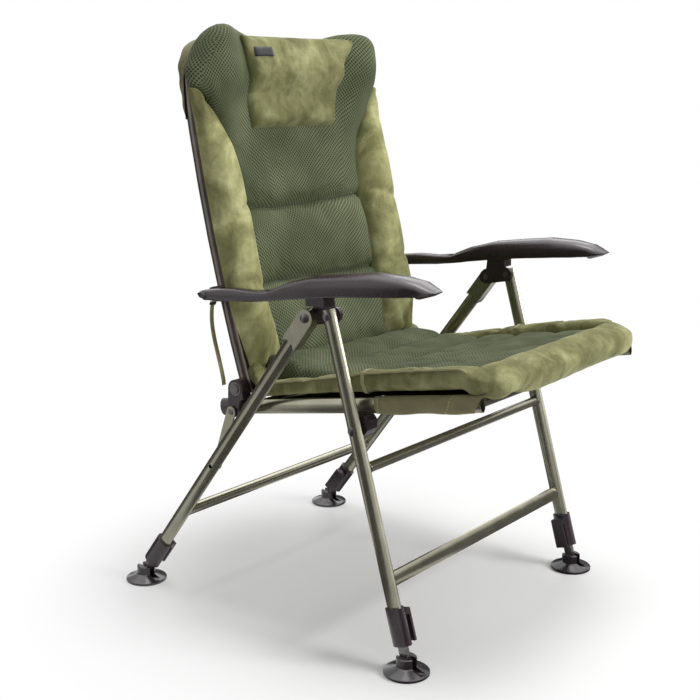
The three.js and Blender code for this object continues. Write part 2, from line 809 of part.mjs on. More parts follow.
// Hinge brackets: each sits on a rail, holds the back's pivot and carries the side link's bolt
for (const [word, side] of sides) {
  const plateInner = side * (railOuterX + gap);
  const plateOuter = side * (railOuterX + gap + hingePlateThickness);
  const cheek = strapOutline(backPivot, hingeCheekRadius, linkPivot, hingeEyeRadius);
  const saddleTop = tubeDepth / 2 + gap;
  const saddle = [
    onSeat(-backPivotRear - hingeCheekRadius, saddleTop),
    onSeat(-backPivotRear + hingeCheekRadius, saddleTop),
    onSeat(-backPivotRear + hingeCheekRadius, backPivotHeight),
    onSeat(-backPivotRear - hingeCheekRadius, backPivotHeight),
  ];
  const body = join(
    plate(cheek, plateInner, plateOuter),
    plate(saddle, side * (railInnerX + gap), plateOuter),
    peg(side * (railInnerX + gap), plateOuter, backPivot, hingeCheekRadius, tubeSides),
  );
  const pivotHole = peg(
    side * (railInnerX - overrun),
    side * (railOuterX + hingePlateThickness + overrun),
    backPivot,
    drumHoleRadius,
  );
  const linkHole = peg(plateInner - side * overrun, plateOuter + side * overrun, linkPivot, boltRadius + gap);
  add(`back_hinge_bracket_${word}`, cut(body, pivotHole, linkHole), plasticFinish);

  const bushSteps = [
    [backX - tubeWidth / 2 - gap - bushHeadHeight, hingeFlangeRadius],
    [backX - tubeWidth / 2 - gap, hingeFlangeRadius],
    [backX - tubeWidth / 2 - gap, bushRadius],
    [backX + tubeWidth / 2 + gap, bushRadius],
    [backX + tubeWidth / 2 + gap, hingeDrumRadius],
    [railOuterX + hingePlateThickness + 2 * gap, hingeDrumRadius],
    [railOuterX + hingePlateThickness + 2 * gap, bushHeadRadius],
    [railOuterX + hingePlateThickness + 2 * gap + bushHeadHeight * boltTopShare, bushHeadRadius],
  ].map(([x, radius]) => [side * x, radius]);
  add(`back_pivot_bolt_${word}`, steppedPeg(backPivot, bushSteps), boltFinish);

  // The link and its bolt; at its foot it stops short of the leg's own stud
  const linkShape = strapOutline(linkPivot, linkWidth / 2, linkFoot, linkWidth / 2 - gap);
  const link = plate(linkShape, side * linkLayer, side * (linkLayer + linkThickness));
  const eyes = [linkPivot, linkFoot].map((eye) =>
    peg(side * (linkLayer - overrun), side * (linkLayer + linkThickness + overrun), eye, boltRadius + gap),
  );
  add(`side_link_${word}`, cut(link, ...eyes), frameFinish);
  const linkBoltSteps = [
    [railInnerX - gap - boltHeadHeight / 2, boltHeadRadius * boltNutShare],
    [railInnerX - gap, boltHeadRadius * boltNutShare],
    [railInnerX - gap, boltRadius],
    [linkLayer + linkThickness + gap, boltRadius],
    [linkLayer + linkThickness + gap, boltHeadRadius * boltNutShare],
    [legInnerX - gap, boltHeadRadius * boltTopShare],
  ].map(([x, radius]) => [side * x, radius]);
  add(`link_bolt_${word}`, steppedPeg(linkPivot, linkBoltSteps), boltFinish);
}

// Seat sling: a sheet between the rails, with a sleeve round the front half of each rail
function seatSlab(xa, xb, rear, front, low, high) {
  return plate([onSeat(-rear, low), onSeat(front, low), onSeat(front, high), onSeat(-rear, high)], xa, xb);
}

const sheetRear = seatRearBarRear - seatBarDiameter / 2 - gap;
const sheetFront = railFront - seatFrontBarInset - seatBarDiameter / 2 - gap;
const halfSheet = slingThickness / 2;
const sheetHalfWidth = railInnerX - gap;
const sheet = seatSlab(-sheetHalfWidth, sheetHalfWidth, sheetRear, sheetFront, -halfSheet, halfSheet);
const sleeves = sides.map(([, side]) =>
  straightTube(
    side * railX,
    onSeat(sleeveStart, 0),
    onSeat(railFront + sleeveBeyondRail, 0),
    tubeDepth + 2 * gap + 2 * sleeveWall,
    tubeWidth + 2 * gap + 2 * sleeveWall,
    sleeveWall,
  ),
);
const barHoles = sides.map(([, side]) =>
  peg(
    side * (railInnerX - tubeWidth / 2),
    side * railInnerX,
    onSeat(railFront - seatFrontBarInset, 0),
    seatBarDiameter / 2 + gap,
    tubeSides,
  ),
);
add("seat_sling", cut(join(sheet, ...sleeves), ...barHoles), nylonFinish);

// Back frame: one tube, up one side, round the corners and across the top
function backTubeRings(inset) {
  const reach = backLength - backCornerRadius;
  const path = [];
  for (let k = 0; k <= backSteps; k += 1) {
    path.push([backX, -backTail + ((reach + backTail) * k) / backSteps, 0]);
  }
  for (let k = 1; k <= cornerSteps; k += 1) {
    const turn = (Math.PI / 2) * (k / cornerSteps);
    const x = backX - backCornerRadius + backCornerRadius * Math.cos(turn);
    path.push([x, reach + backCornerRadius * Math.sin(turn), turn]);
  }
  const mirrored = path.slice().reverse().map(([x, up, turn]) => [-x, up, Math.PI - turn]);
  return [...path, ...mirrored].map(([x, up, turn]) => {
    const lean = backLean(up);
    const fore = new THREE.Vector3(0, -Math.cos(lean), Math.sin(lean));
    const rise = new THREE.Vector3(0, Math.sin(lean), Math.cos(lean));
    const aside = acrossAxis.clone().multiplyScalar(Math.cos(turn)).addScaledVector(rise, Math.sin(turn));
    return ring(
      at(x, onBack(up)),
      fore.multiplyScalar(tubeDepth / 2 - inset),
      aside.multiplyScalar(tubeWidth / 2 - inset),
    );
  });
}

const backTube = loft([...backTubeRings(0), ...backTubeRings(tubeWall).reverse()], true);
const backHoles = sides.flatMap(([, side]) => [
  peg(side * (backX - tubeWidth), side * (backX + tubeWidth), backPivot, hingeHoleRadius),
  peg(side * (backX - tubeWidth), side * (backX + tubeWidth), armPivot, armPinRadius + gap),
]);
add("back_frame", cut(backTube, ...backHoles), darkTubeFinish);

// Back sling: a sheet that bows backwards between the side tubes
function slingBow(x) {
  return -backSlingSag * (1 - (x / backX) ** 2);
}

const slingColumns = 10;
const slingRows = 5;
const slingHalf = backX - tubeWidth / 2 - armPinHeadHeight - 2 * gap;
const slingTop = backLength - tubeWidth / 2 - gap;
function slingRing(up) {
  const across = Array.from({ length: slingColumns + 1 }, (_, k) => slingHalf * ((2 * k) / slingColumns - 1));
  const front = across.map((x) => at(x, onBack(up, slingBow(x) + slingThickness / 2)));
  const rear = across.map((x) => at(x, onBack(up, slingBow(x) - slingThickness / 2)));
  return [...front, ...rear.reverse()];
}
const slingLevels = Array.from(
  { length: slingRows + 1 },
  (_, k) => backSlingBottom + ((slingTop - backCornerRadius - backSlingBottom) * k) / slingRows,
);
add("back_sling", gridSheet(slingLevels.map(slingRing)), nylonFinish);

// A thin sheet from rings that each run along its front face and back along its rear face
function gridSheet(rings) {
  const count = rings[0].length;
  const geometry = loft([...rings]);
  const faces = Array.from(geometry.index.array);
  const outward = faces[0] === 0;
  const wallFaces = (rings.length - 1) * count * 6;
  const walls = outward ? faces.slice(0, wallFaces) : faces.slice(-wallFaces);
  const top = (rings.length - 1) * count;
  const caps = [];
  for (let k = 0; k < count / 2 - 1; k += 1) {
    const m = count - 1 - k;
    caps.push(k, m, m - 1, k, m - 1, k + 1);
    caps.push(top + k, top + m - 1, top + m, top + k, top + k + 1, top + m - 1);
  }
  if (!outward) {
    caps.reverse();
  }
  geometry.setIndex([...walls, ...caps]);
  return geometry;
}

// Armrests, from shares of the arm's length, height and half width: along, low, high, half
const armStationShares = [
  [0.0, 0.1, 0.14, 0.3],
  [0.012, 0.03, 0.19, 0.4],
  [0.045, 0.005, 0.235, 0.45],
  [0.095, 0.01, 0.28, 0.465],
  [0.17, 0.045, 0.335, 0.48],
  [0.26, 0.1, 0.345, 0.54],
  [0.335, 0.155, 0.4, 0.61],
  [0.42, 0.22, 0.61, 0.715],
  [0.53, 0.3, 0.79, 0.82],
  [0.65, 0.385, 0.89, 0.91],
  [0.77, 0.455, 0.975, 0.98],
  [0.88, 0.535, 0.965, 1.0],
  [0.94, 0.6, 0.91, 0.93],
  [0.975, 0.665, 0.82, 0.74],
  [1.0, 0.74, 0.76, 0.35],
];
const armSides = 14;
const armSquareness = 2.7;
const armRearY = armPivot.x + armBehindPivot;
const armBottomZ = armPivot.y - armBelowPivot;

function armSection(x, along, low, high, half) {
  const y = armRearY - armLength * along;
  const points = [];
  for (let k = 0; k < armSides; k += 1) {
    const turn = (2 * Math.PI * k) / armSides;
    const [c, s] = [Math.cos(turn), Math.sin(turn)];
    const px = Math.sign(c) * Math.abs(c) ** (2 / armSquareness) * half;
    const pz = Math.sign(s) * Math.abs(s) ** (2 / armSquareness);
    points.push(new THREE.Vector3(x + px, y, (low + high) / 2 + (pz * (high - low)) / 2));
  }
  return points;
}

// The arm's low line, high line and half width at a share of its length
function armAt(share) {
  const next = Math.max(1, armStationShares.findIndex(([along]) => along >= share));
  const [a, b] = [armStationShares[next - 1], armStationShares[next]];
  const part = (share - a[0]) / (b[0] - a[0]);
  const [low, high, half] = [1, 2, 3].map((k) => a[k] + (b[k] - a[k]) * part);
  return [armBottomZ + low * armHeight, armBottomZ + high * armHeight, half * armHalfWidth];
}

for (const [word, side] of sides) {
  const x = side * armX;
  const shell = loft(armStationShares.map(([along]) => armSection(x, along, ...armAt(along))));
  const cavityShares = [armCavityRearShare, 0.26, 0.42, 0.53, 0.65, 0.77, 0.88, armCavityFrontShare];
  const cavity = loft(
    cavityShares.map((along) => {
      const [low, high, half] = armAt(along);
      const y = armRearY - armLength * along;
      const inner = half - armWall;
      return [
        new THREE.Vector3(x - inner, y, low - armHeight),
        new THREE.Vector3(x + inner, y, low - armHeight),
        new THREE.Vector3(x + inner, y, high - armTopWall - armWall),
        new THREE.Vector3(x + inner * armCavityTopShare, y, high - armTopWall),
        new THREE.Vector3(x - inner * armCavityTopShare, y, high - armTopWall),
        new THREE.Vector3(x - inner, y, high - armTopWall - armWall),
      ];
    }),
  );
  // The rack: a rib under the arm's top whose notches the hub's pin can sit in
  const rackLow = hubBlockHeight + hubPinRadius + overrun;
  const rackStart = armTrack.length() - rackPitch;
  const rackEnd = rackStart + rackPitch * (rackNotches + 1);
  const rib = plate(
    [
      onTrack(rackStart, rackLow),
      onTrack(rackEnd, rackLow),
      onTrack(rackEnd, armHeight),
      onTrack(rackStart, armHeight),
    ],
    x - rackThickness / 2,
    x + rackThickness / 2,
  );
  const notches = Array.from({ length: rackNotches }, (_, k) =>
    peg(x - rackThickness, x + rackThickness, onTrack(rackStart + rackPitch * (k + 1), rackLow), rackNotchRadius),
  );
  const pivotHole = peg(x - armHalfWidth, x + armHalfWidth, armPivot, armPinRadius + gap);
  const hollowed = cut(shell, cavity);
  const rack = cut(common(rib, shell), ...notches);
  add(`armrest_${word}`, cut(join(hollowed, rack), pivotHole), plasticFinish);

  const widest = (armRearY - armPivot.x + armPinHeadRadius) / armLength;
  const armInner = armX - armAt(widest)[2];
  const armOuter = 2 * armX - armInner;
  const pinSteps = [
    [backX - tubeWidth / 2 - gap - armPinHeadHeight, armPinHeadRadius],
    [backX - tubeWidth / 2 - gap, armPinHeadRadius],
    [backX - tubeWidth / 2 - gap, armPinRadius],
    [backX + tubeWidth / 2 + gap, armPinRadius],
    [backX + tubeWidth / 2 + gap, armCollarRadius],
    [armInner - gap, armCollarRadius],
    [armInner - gap, armPinRadius],
    [armOuter + gap, armPinRadius],
    [armOuter + gap, armPinHeadRadius],
    [armOuter + gap + armPinHeadHeight, armPinHeadRadius * boltTopShare],
  ].map(([px, radius]) => [side * px, radius]);
  add(`arm_pivot_bolt_${word}`, steppedPeg(armPivot, pinSteps), boltFinish);
}

// Where a pad's grid lines run, from its edge inwards: crowded where it turns and at its
// channels, and even between
function padLines(length, round, channels, spacing) {
  const edge = padEdgeShares.map((share) => share * round);
  const groove = channels.flatMap((place) => [place - channelWidth / 2, place, place + channelWidth / 2]);
  const fixed = [...edge, ...groove, ...edge.map((place) => length - place)].sort((a, b) => a - b);
  const lines = [];
  for (let i = 0; i < fixed.length - 1; i += 1) {
    const parts = Math.max(1, Math.round((fixed[i + 1] - fixed[i]) / spacing));
    for (let k = 0; k < parts; k += 1) {
      lines.push(fixed[i] + ((fixed[i + 1] - fixed[i]) * k) / parts);
    }
  }
  return [...lines, length].map((place) => place / length);
}

// A pad: a front and a rear face over the same grid, which meet round its edge
function pad(columnShares, rowShares, place) {
  const columns = columnShares.length - 1;
  const rows = rowShares.length - 1;
  const points = [];
  const front = [];
  const rear = [];
  for (let j = 0; j <= rows; j += 1) {
    front.push([]);
    rear.push([]);
    for (let i = 0; i <= columns; i += 1) {
      const [top, under] = place(2 * columnShares[i] - 1, rowShares[j]);
      const rim = i === 0 || i === columns || j === 0 || j === rows;
      front[j].push(points.push(top) - 1);
      rear[j].push(rim ? points.length - 1 : points.push(under) - 1);
    }
  }
  const faces = [];
  for (let j = 0; j < rows; j += 1) {
    for (let i = 0; i < columns; i += 1) {
      const [a, b, c, d] = [front[j][i], front[j][i + 1], front[j + 1][i + 1], front[j + 1][i]];
      const [e, f, g, h] = [rear[j][i], rear[j][i + 1], rear[j + 1][i + 1], rear[j + 1][i]];
      const slant = (i < columns / 2) === (j < rows / 2);
      faces.push(...(slant ? [a, b, c, a, c, d] : [a, b, d, b, c, d]));
      faces.push(...(slant ? [e, g, f, e, h, g] : [e, h, f, f, h, g]));
    }
  }
  let volume = 0;
  for (let i = 0; i < faces.length; i += 3) {
    const [a, b, c] = [points[faces[i]], points[faces[i + 1]], points[faces[i + 2]]];
    volume += a.dot(new THREE.Vector3().crossVectors(b, c));
  }
  if (volume < 0) {
    faces.reverse();
  }
  const geometry = new THREE.BufferGeometry().setFromPoints(points);
  geometry.setIndex(faces);
  return geometry;
}

// How full a pad is at a distance in from its edge: zero at the edge, round, then one
function fullness(distance, radius) {
  const part = THREE.MathUtils.clamp(distance / radius, 0, 1);
  return Math.sqrt(1 - (1 - part) ** 2);
}

function channel(distance) {
  const part = Math.min(Math.abs(distance) / (channelWidth / 2), 1);
  return channelDepth * (1 - part) ** 2 * (1 + 2 * part);
}

// Seat cushion: a rolled border round a channelled panel
const seatPadHalfWidth = railX + seatPadBeyondRail;
const seatPadLength = seatPadFront + seatPadRear;
const seatChannelPlaces = Array.from(
  { length: seatChannels },
  (_, k) => ((seatPadLength - seatRollWidth) * (k + 1)) / (seatChannels + 1),
);

function seatPadPlace(across, along) {
  const length = seatPadLength;
  const forward = -seatPadRear + length * along;
  const toFront = seatPadFront - forward;
  const corner = THREE.MathUtils.clamp(seatCornerRadius - toFront, 0, seatCornerRadius);
  const inset = seatCornerRadius - Math.sqrt(seatCornerRadius ** 2 - corner ** 2);
  const halfWidth = seatPadHalfWidth - inset;
  const x = across * halfWidth;
  const toSide = halfWidth - Math.abs(x);
  const toRear = forward + seatPadRear;
  const edge = Math.min(toSide, toFront, toRear * 2);
  const rollPart = THREE.MathUtils.clamp(Math.min(toSide, toFront) / seatRollWidth, 0, 1);
  const roll = seatPanelThickness + (seatPadThickness - seatPanelThickness) * Math.sin(rollPart * Math.PI);
  let height = roll;
  if (rollPart >= 1) {
    for (const place of seatChannelPlaces) {
      height -= channel(toRear - place);
    }
  }
  const base = tubeDepth / 2 + sleeveWall + gap + seatPadLift - seatPadSettle;
  const full = fullness(edge, padEdgeRound);
  const middle = height * padMidShare;
  const top = middle + (height - middle) * full;
  const under = middle - middle * fullness(edge, seatUnderRound);
  return [at(x, onSeat(forward, base + top)), at(x, onSeat(forward, base + under))];
}

function padColumns(halfWidth, seam) {
  const lines = padLines(2 * halfWidth, padEdgeRound, [], padSpacing);
  const seams = [seam / 2, seam].flatMap((place) => [place, 2 * halfWidth - place]);
  return [...lines, ...seams.map((place) => place / (2 * halfWidth))].sort((a, b) => a - b);
}
const seatRows = padLines(seatPadLength, padEdgeRound, seatChannelPlaces, padSpacing);
add("seat_cushion", pad(padColumns(seatPadHalfWidth, seatRollWidth), seatRows, seatPadPlace), fleeceFinish);

// Back cushion: a concave panel between side bolsters, which opens into two ears at the top
const backPadTop = backLength + backPadAboveTube;
const backPadHalfWidth = backX + backPadBeyondTube;
const backEarStart = backPadTop * backEarStartShare;
const backBolsterTop = backPadTop * backBolsterShare;
const backChannelHeights = backChannelShares.map((share) => share * backPadTop);

function backOuter(up) {
  const foot = THREE.MathUtils.smoothstep(up, 0, backPadTop / 4);
  const ear = THREE.MathUtils.smoothstep(up, backEarStart, backPadTop);
  return backPadHalfWidth - backPadFootNarrowing * (1 - foot) + backEarFlare * ear;
}

// How far the pad has come forward, from lying in the sling to passing over the top tube
function overTop(up) {
  const end = backLength - backCornerRadius;
  return THREE.MathUtils.smoothstep(up, end - backPadTopBlend, end);
}

function backRear(x, up) {
  const inside = backX - tubeWidth / 2 - backPadFromTube;
  const overSide = THREE.MathUtils.smoothstep(Math.abs(x), inside - tubeWidth, inside);
  const step = Math.max(overSide, overTop(up));
  const onSling = slingBow(Math.min(Math.abs(x), inside)) + slingThickness / 2 + backPadClear;
  return onSling + (tubeDepth / 2 + backPadClear - onSling) * step;
}

function backFront(x, up) {
  const outer = backOuter(up);
  const narrowing = THREE.MathUtils.smoothstep(up, 0, backBolsterTop);
  const bolster = backBolsterWidth * (1 - narrowing * narrowing);
  const ear = THREE.MathUtils.smoothstep(up, backEarStart, backPadTop) * backEarBulge;
  const share = THREE.MathUtils.clamp(Math.abs(x) / outer, 0, 1);
  const bow = backSlingSag * (1 - share ** 2) * (1 - overTop(up));
  const hollow = backPanelThickness - bow + ear * share ** 4;
  const toSide = outer - Math.abs(x);
  const part = THREE.MathUtils.clamp(toSide / Math.max(bolster, 1), 0, 1);
  const swell = bolster > padEdgeRound ? backBolsterRise * Math.sin(part * Math.PI) * (1 - narrowing) : 0;
  let front = hollow + swell;
  if (part >= 1) {
    for (const height of backChannelHeights) {
      front -= channel(up - height);
    }
  }
  return front;
}

function backPadPlace(across, along) {
  const earPart = Math.abs(across) ** 3;
  const peak = Math.sin(Math.min(Math.abs(across) / backEarPeakShare, 1) * (Math.PI / 2)) ** 4;
  const shoulder = THREE.MathUtils.smoothstep(Math.abs(across), backEarPeakShare, 1);
  const top = backPadTop + backEarRise * peak - backEarDrop * shoulder * earPart;
  const up = backPadBottom + (top - backPadBottom) * along;
  const outer = backOuter(up);
  const x = across * outer;
  const edge = Math.min(outer - Math.abs(x), top - up, up - backPadBottom);
  const full = fullness(edge, padEdgeRound);
  const [rear, front] = [backRear(x, up), backFront(x, up)];
  const middle = rear + (front - rear) * padMidShare;
  const [faceFront, faceRear] = [front, rear].map((face) => middle + (face - middle) * full);
  return [at(x, onBack(up, faceFront)), at(x, onBack(up, faceRear))];
}
const backChannelPlaces = backChannelHeights.map((height) => height - backPadBottom);
const backRows = padLines(backPadTop - backPadBottom, padEdgeRound, backChannelPlaces, padSpacing);
add("back_cushion", pad(padColumns(backPadHalfWidth, backBolsterWidth), backRows, backPadPlace), meshFinish);

// Pillow: wider at the top than at the bottom, on the front of the back cushion
const pillowTop = backPadTop + pillowAbovePad;
const pillowBottom = pillowTop - pillowLength;

function pillowPlace(across, along) {
  const up = pillowBottom + (pillowTop - pillowBottom) * along;
  const half = pillowHalfBottom + (pillowHalfTop - pillowHalfBottom) * along;
  const x = across * half;
  const edge = Math.min(half - Math.abs(x), pillowTop - up, up - pillowBottom);
  const full = fullness(edge, pillowEdgeRound);
  const rear = backFront(x, Math.min(up, backPadTop - padEdgeRound)) + pillowClear;
  const crown = pillowThickness - pillowCrownDrop * across ** 2;
  const under = crown * pillowMidShare;
  const middle = rear + under;
  return [at(x, onBack(up, middle + (crown - under) * full)), at(x, onBack(up, middle - under * full))];
}
const pillowColumns = padLines(2 * pillowHalfTop, pillowEdgeRound, [], padSpacing);
const pillowRows = padLines(pillowTop - pillowBottom, pillowEdgeRound, [], padSpacing);
add("pillow", pad(pillowColumns, pillowRows, pillowPlace), fleeceFinish);

// Hanging strap: webbing from the arm's pivot down behind the right back tube, from shares
// of its drop: backwards of the arm's pivot, and down from it
const strapShares = [
  [0.038, 0.07],
  [0.085, 0.14],
  [0.1, 0.26],
  [0.093, 0.38],
  [0.062, 0.53],
  [0.018, 0.68],
  [-0.025, 0.83],
  [-0.05, 0.93],
  [-0.06, 1.0],
];
const strapRoute = strapShares.map(
  ([back, down]) => new THREE.Vector2(armPivot.x + back * strapDrop, armPivot.y - down * strapDrop),
);
const strapRings = strapRoute.map((point, k) => {
  const before = strapRoute[Math.max(0, k - 1)];
  const after = strapRoute[Math.min(strapRoute.length - 1, k + 1)];
  const along = after.clone().sub(before).normalize();
  const square = new THREE.Vector3(0, -along.y, along.x).multiplyScalar(strapThickness / 2);
  const half = acrossAxis.clone().multiplyScalar(strapWidth / 2);
  return ring(at(-strapLayer, point), square, half, strapSides);
});
add("closing_strap", loft(strapRings), webbingFinish);

// The origin lies on the floor, under the middle of the chair
const bounds = new THREE.Box3().setFromObject(chair);
chair.position.y = -(bounds.min.y + bounds.max.y) / 2;

export default chair;
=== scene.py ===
import json
import math

import bpy
import numpy as np
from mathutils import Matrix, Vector
from mathutils.bvhtree import BVHTree


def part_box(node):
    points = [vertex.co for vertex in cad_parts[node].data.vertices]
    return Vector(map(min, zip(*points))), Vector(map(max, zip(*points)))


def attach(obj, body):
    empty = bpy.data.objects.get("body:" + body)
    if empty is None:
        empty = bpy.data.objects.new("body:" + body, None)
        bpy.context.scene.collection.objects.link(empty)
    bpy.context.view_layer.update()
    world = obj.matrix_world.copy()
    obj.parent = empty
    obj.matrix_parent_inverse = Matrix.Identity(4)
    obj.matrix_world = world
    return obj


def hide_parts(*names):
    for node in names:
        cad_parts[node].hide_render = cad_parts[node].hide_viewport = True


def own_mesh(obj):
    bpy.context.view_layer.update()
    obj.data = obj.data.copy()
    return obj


# Dresses the frame of a folding fishing chair with its pads, cloth, trims, materials and studio.
# Lengths are in metres. Left is the sitter's left, at +x, and the chair looks to -y.
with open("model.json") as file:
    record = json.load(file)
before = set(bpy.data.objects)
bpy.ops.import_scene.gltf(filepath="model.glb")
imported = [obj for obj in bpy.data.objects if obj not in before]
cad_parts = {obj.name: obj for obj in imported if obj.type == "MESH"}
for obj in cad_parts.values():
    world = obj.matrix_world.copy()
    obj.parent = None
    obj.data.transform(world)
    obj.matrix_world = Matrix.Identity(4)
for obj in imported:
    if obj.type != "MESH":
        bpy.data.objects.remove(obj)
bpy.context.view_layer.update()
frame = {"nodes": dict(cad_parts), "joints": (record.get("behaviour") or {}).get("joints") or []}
scene = bpy.context.scene
joint_at = {j["name"]: j.get("pos_m") for j in frame["joints"]}
SIDES = (("left", 1), ("right", -1))

# Camera, as fitted to the photograph with the near front foot at FITTED_FOOT_Y
FITTED_FOOT_Y = -0.326
FOCAL_PIXELS, PHOTO_PIXELS, SENSOR_MM = 1208.0, 700.0, 36.0
foot_low, foot_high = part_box("foot_front_right")
shift = (foot_low.y + foot_high.y) / 2 - FITTED_FOOT_Y
CAMERA_AT = (-1.8304, -1.4174 + shift, 0.9804)
CAMERA_AIM = (0.2646, 0.2337 + shift, 0.3883)


def aim(obj, target):
    way = Vector(target) - obj.location
    obj.rotation_euler = way.to_track_quat("-Z", "Y").to_euler()


camera_data = bpy.data.cameras.new("camera")
camera = bpy.data.objects.new("camera", camera_data)
scene.collection.objects.link(camera)
camera.location = CAMERA_AT
aim(camera, CAMERA_AIM)
camera_data.sensor_width = SENSOR_MM
camera_data.lens = FOCAL_PIXELS / PHOTO_PIXELS * SENSOR_MM
scene.camera = camera
scene.view_settings.view_transform = "Standard"

# Places: the pivots as (y, z), the directions of the seat's rails, and the curve of the back's tubes
PIVOT_JOINTS = ("fold", "back_fold", "arm_recline")
SEAT_PIVOT, BACK_PIVOT, ARM_PIVOT = (np.array(joint_at[name][1:]) for name in PIVOT_JOINTS)
SEAT_SLOPE = math.radians(9.9)
FORE = np.array([-math.cos(SEAT_SLOPE), math.sin(SEAT_SLOPE)])
RISE = np.array([math.sin(SEAT_SLOPE), math.cos(SEAT_SLOPE)])
FORE_WAY = (0, *FORE)
SEAT_UP = (0.0, *map(float, RISE))
RAIL_OVER_PIVOT = 0.0374
RAIL = SEAT_PIVOT + RAIL_OVER_PIVOT * RISE
RAIL_X, BACK_X, TUBE_WIDTH = 0.262, 0.243, 0.016
LEAN_LOW, LEAN_TOP, BACK_LENGTH = math.radians(18.4), math.radians(7.8), 0.63
LEAN_RATE = (LEAN_TOP - LEAN_LOW) / BACK_LENGTH
PAD_TOP = 0.64


def on_seat(x, fore, up):
    """Places across, forward along the seat's rails and above their middle."""
    x, fore, up = np.broadcast_arrays(x, fore, up)
    y = RAIL[0] + FORE[0] * fore + RISE[0] * up
    z = RAIL[1] + FORE[1] * fore + RISE[1] * up
    return np.stack([x, y, z], -1).astype(float)


def on_back(x, up, fore):
    """Places across, up along the back's curved tubes and in front of their middle."""
    x, up, fore = np.broadcast_arrays(x, up, fore)
    lean = LEAN_LOW + LEAN_RATE * up
    y = BACK_PIVOT[0] + (math.cos(LEAN_LOW) - np.cos(lean)) / LEAN_RATE - np.cos(lean) * fore
    z = BACK_PIVOT[1] + (np.sin(lean) - math.sin(LEAN_LOW)) / LEAN_RATE + np.sin(lean) * fore
    return np.stack([x, y, z], -1).astype(float)


def back_out(up):
    """The way that the back faces at this height."""
    lean = LEAN_LOW + LEAN_RATE * up
    return (0.0, -math.cos(lean), math.sin(lean))


# Curves that the shapes are made from
def smooth(x, low, high):
    t = np.clip((x - low) / (high - low), 0, 1)
    return t * t * (3 - 2 * t)


def bell(x, centre, width):
    return np.exp(-(((x - centre) / width) ** 2))


def round_edge(distance, radius):
    """Share of full height at a distance from a rounded rim."""
    part = np.clip(distance / radius, 0, 1)
    return np.sqrt(np.maximum(0, 1 - (1 - part) ** 2))


def ripple(x, along, size, rates):
    """Low crossing waves, like those of slack cloth."""
    a, b, c, d = rates
    return size * np.sin(x * a + along * b) * np.sin(along * c - x * d)


def superellipse(turn, half_a, half_b, power):
    a, b = (math.copysign(abs(v) ** (2 / power), v) for v in (math.cos(turn), math.sin(turn)))
    return a * half_a, b * half_b


def least(*values):
    return np.minimum.reduce(values)


def unit(way):
    return way / np.linalg.norm(way)


def turns(count):
    return [2 * math.pi * k / count for k in range(count)]


def run_along(points, axis=0):
    """How far each point is from the first, along the lines of points on this axis."""
    steps = np.linalg.norm(np.diff(points, axis=axis), axis=-1)
    return np.insert(np.cumsum(steps, axis=axis), 0, 0.0, axis=axis)


def heading(line, k):
    return unit(line[min(k + 1, len(line) - 1)] - line[max(k - 1, 0)])


def shares(cells):
    return np.linspace(0, 1, cells + 1)


# Materials
class Net:
    """Builds a node tree; an input takes a number, a colour or another node's output."""

    def __init__(self, owner):
        owner.use_nodes = True
        self.tree = owner.node_tree

    def feed(self, socket, value):
        if isinstance(value, bpy.types.NodeSocket):
            self.tree.links.new(value, socket)
        elif socket.type == "RGBA":
            socket.default_value = (*value, 1.0)
        else:
            socket.default_value = value

    def node(self, kind, inputs=None, **settings):
        n = self.tree.nodes.new(kind)
        for key, value in settings.items():
            setattr(n, key, value)
        for key, value in (inputs or {}).items():
            self.feed(n.inputs[key], value)
        return n

    def math(self, operation, a, b=None, clamp=False):
        inputs = {0: a} if b is None else {0: a, 1: b}
        return self.node("ShaderNodeMath", inputs, operation=operation, use_clamp=clamp).outputs[0]

    def add(self, a, b):
        return self.math("ADD", a, b)

    def less(self, a, b, clamp=False):
        return self.math("SUBTRACT", a, b, clamp)

    def times(self, a, b, clamp=False):
        return self.math("MULTIPLY", a, b, clamp)

    def weigh(self, a, b, share):
        """Two values in one, with this share of the second."""
        return self.add(self.times(a, 1 - share), self.times(b, share))

    def wave(self, kind, value, pitch):
        return self.math(kind, self.times(value, 2 * math.pi / pitch))

    def ramp_up(self, value, start, slope):
        """From 0 at the start up to 1."""
        return self.times(self.less(value, start), slope, clamp=True)

    def split(self, vector):
        return self.node("ShaderNodeSeparateXYZ", {0: vector}).outputs

    def coords(self, kind):
        return self.node("ShaderNodeTexCoord").outputs[kind]

    def noise(self, scale, detail, rough, distortion=0.0, stretch=(1, 1, 1)):
        mapping = self.node("ShaderNodeMapping", {"Scale": stretch, "Vector": self.coords("Object")})
        inputs = {"Vector": mapping.outputs[0], "Scale": scale, "Detail": detail}
        inputs.update({"Roughness": rough, "Distortion": distortion})
        return self.node("ShaderNodeTexNoise", inputs).outputs["Fac"]

    def ramp(self, value, *stops, gain=1.0):
        n = self.node("ShaderNodeValToRGB", {"Fac": value})
        elements = n.color_ramp.elements
        while len(elements) < len(stops):
            elements.new(0.5)
        for element, (place, colour) in zip(elements, stops):
            element.position = place
            element.color = (*(gain * c for c in colour), 1.0)
        return n.outputs["Color"]

    def mix(self, factor, a, b):
        return self.node("ShaderNodeMix", {0: factor, 6: a, 7: b}, data_type="RGBA").outputs[2]

    def bump(self, height, strength, distance, before=None):
        inputs = {"Height": height, "Strength": strength, "Distance": distance}
        if before is not None:
            inputs["Normal"] = before
        return self.node("ShaderNodeBump", inputs).outputs["Normal"]


class Surface(Net):
    """A new material around its Principled shader."""

    def __init__(self, name):
        self.material = bpy.data.materials.new(name)
        super().__init__(self.material)
        self.shader = self.tree.nodes["Principled BSDF"]

    def finish(self, **inputs):
        """Feeds the shader's inputs, named with _ for a space, and hands back the material."""
        for name, value in inputs.items():
            self.feed(self.shader.inputs[name.replace("_", " ")], value)
        return self.material


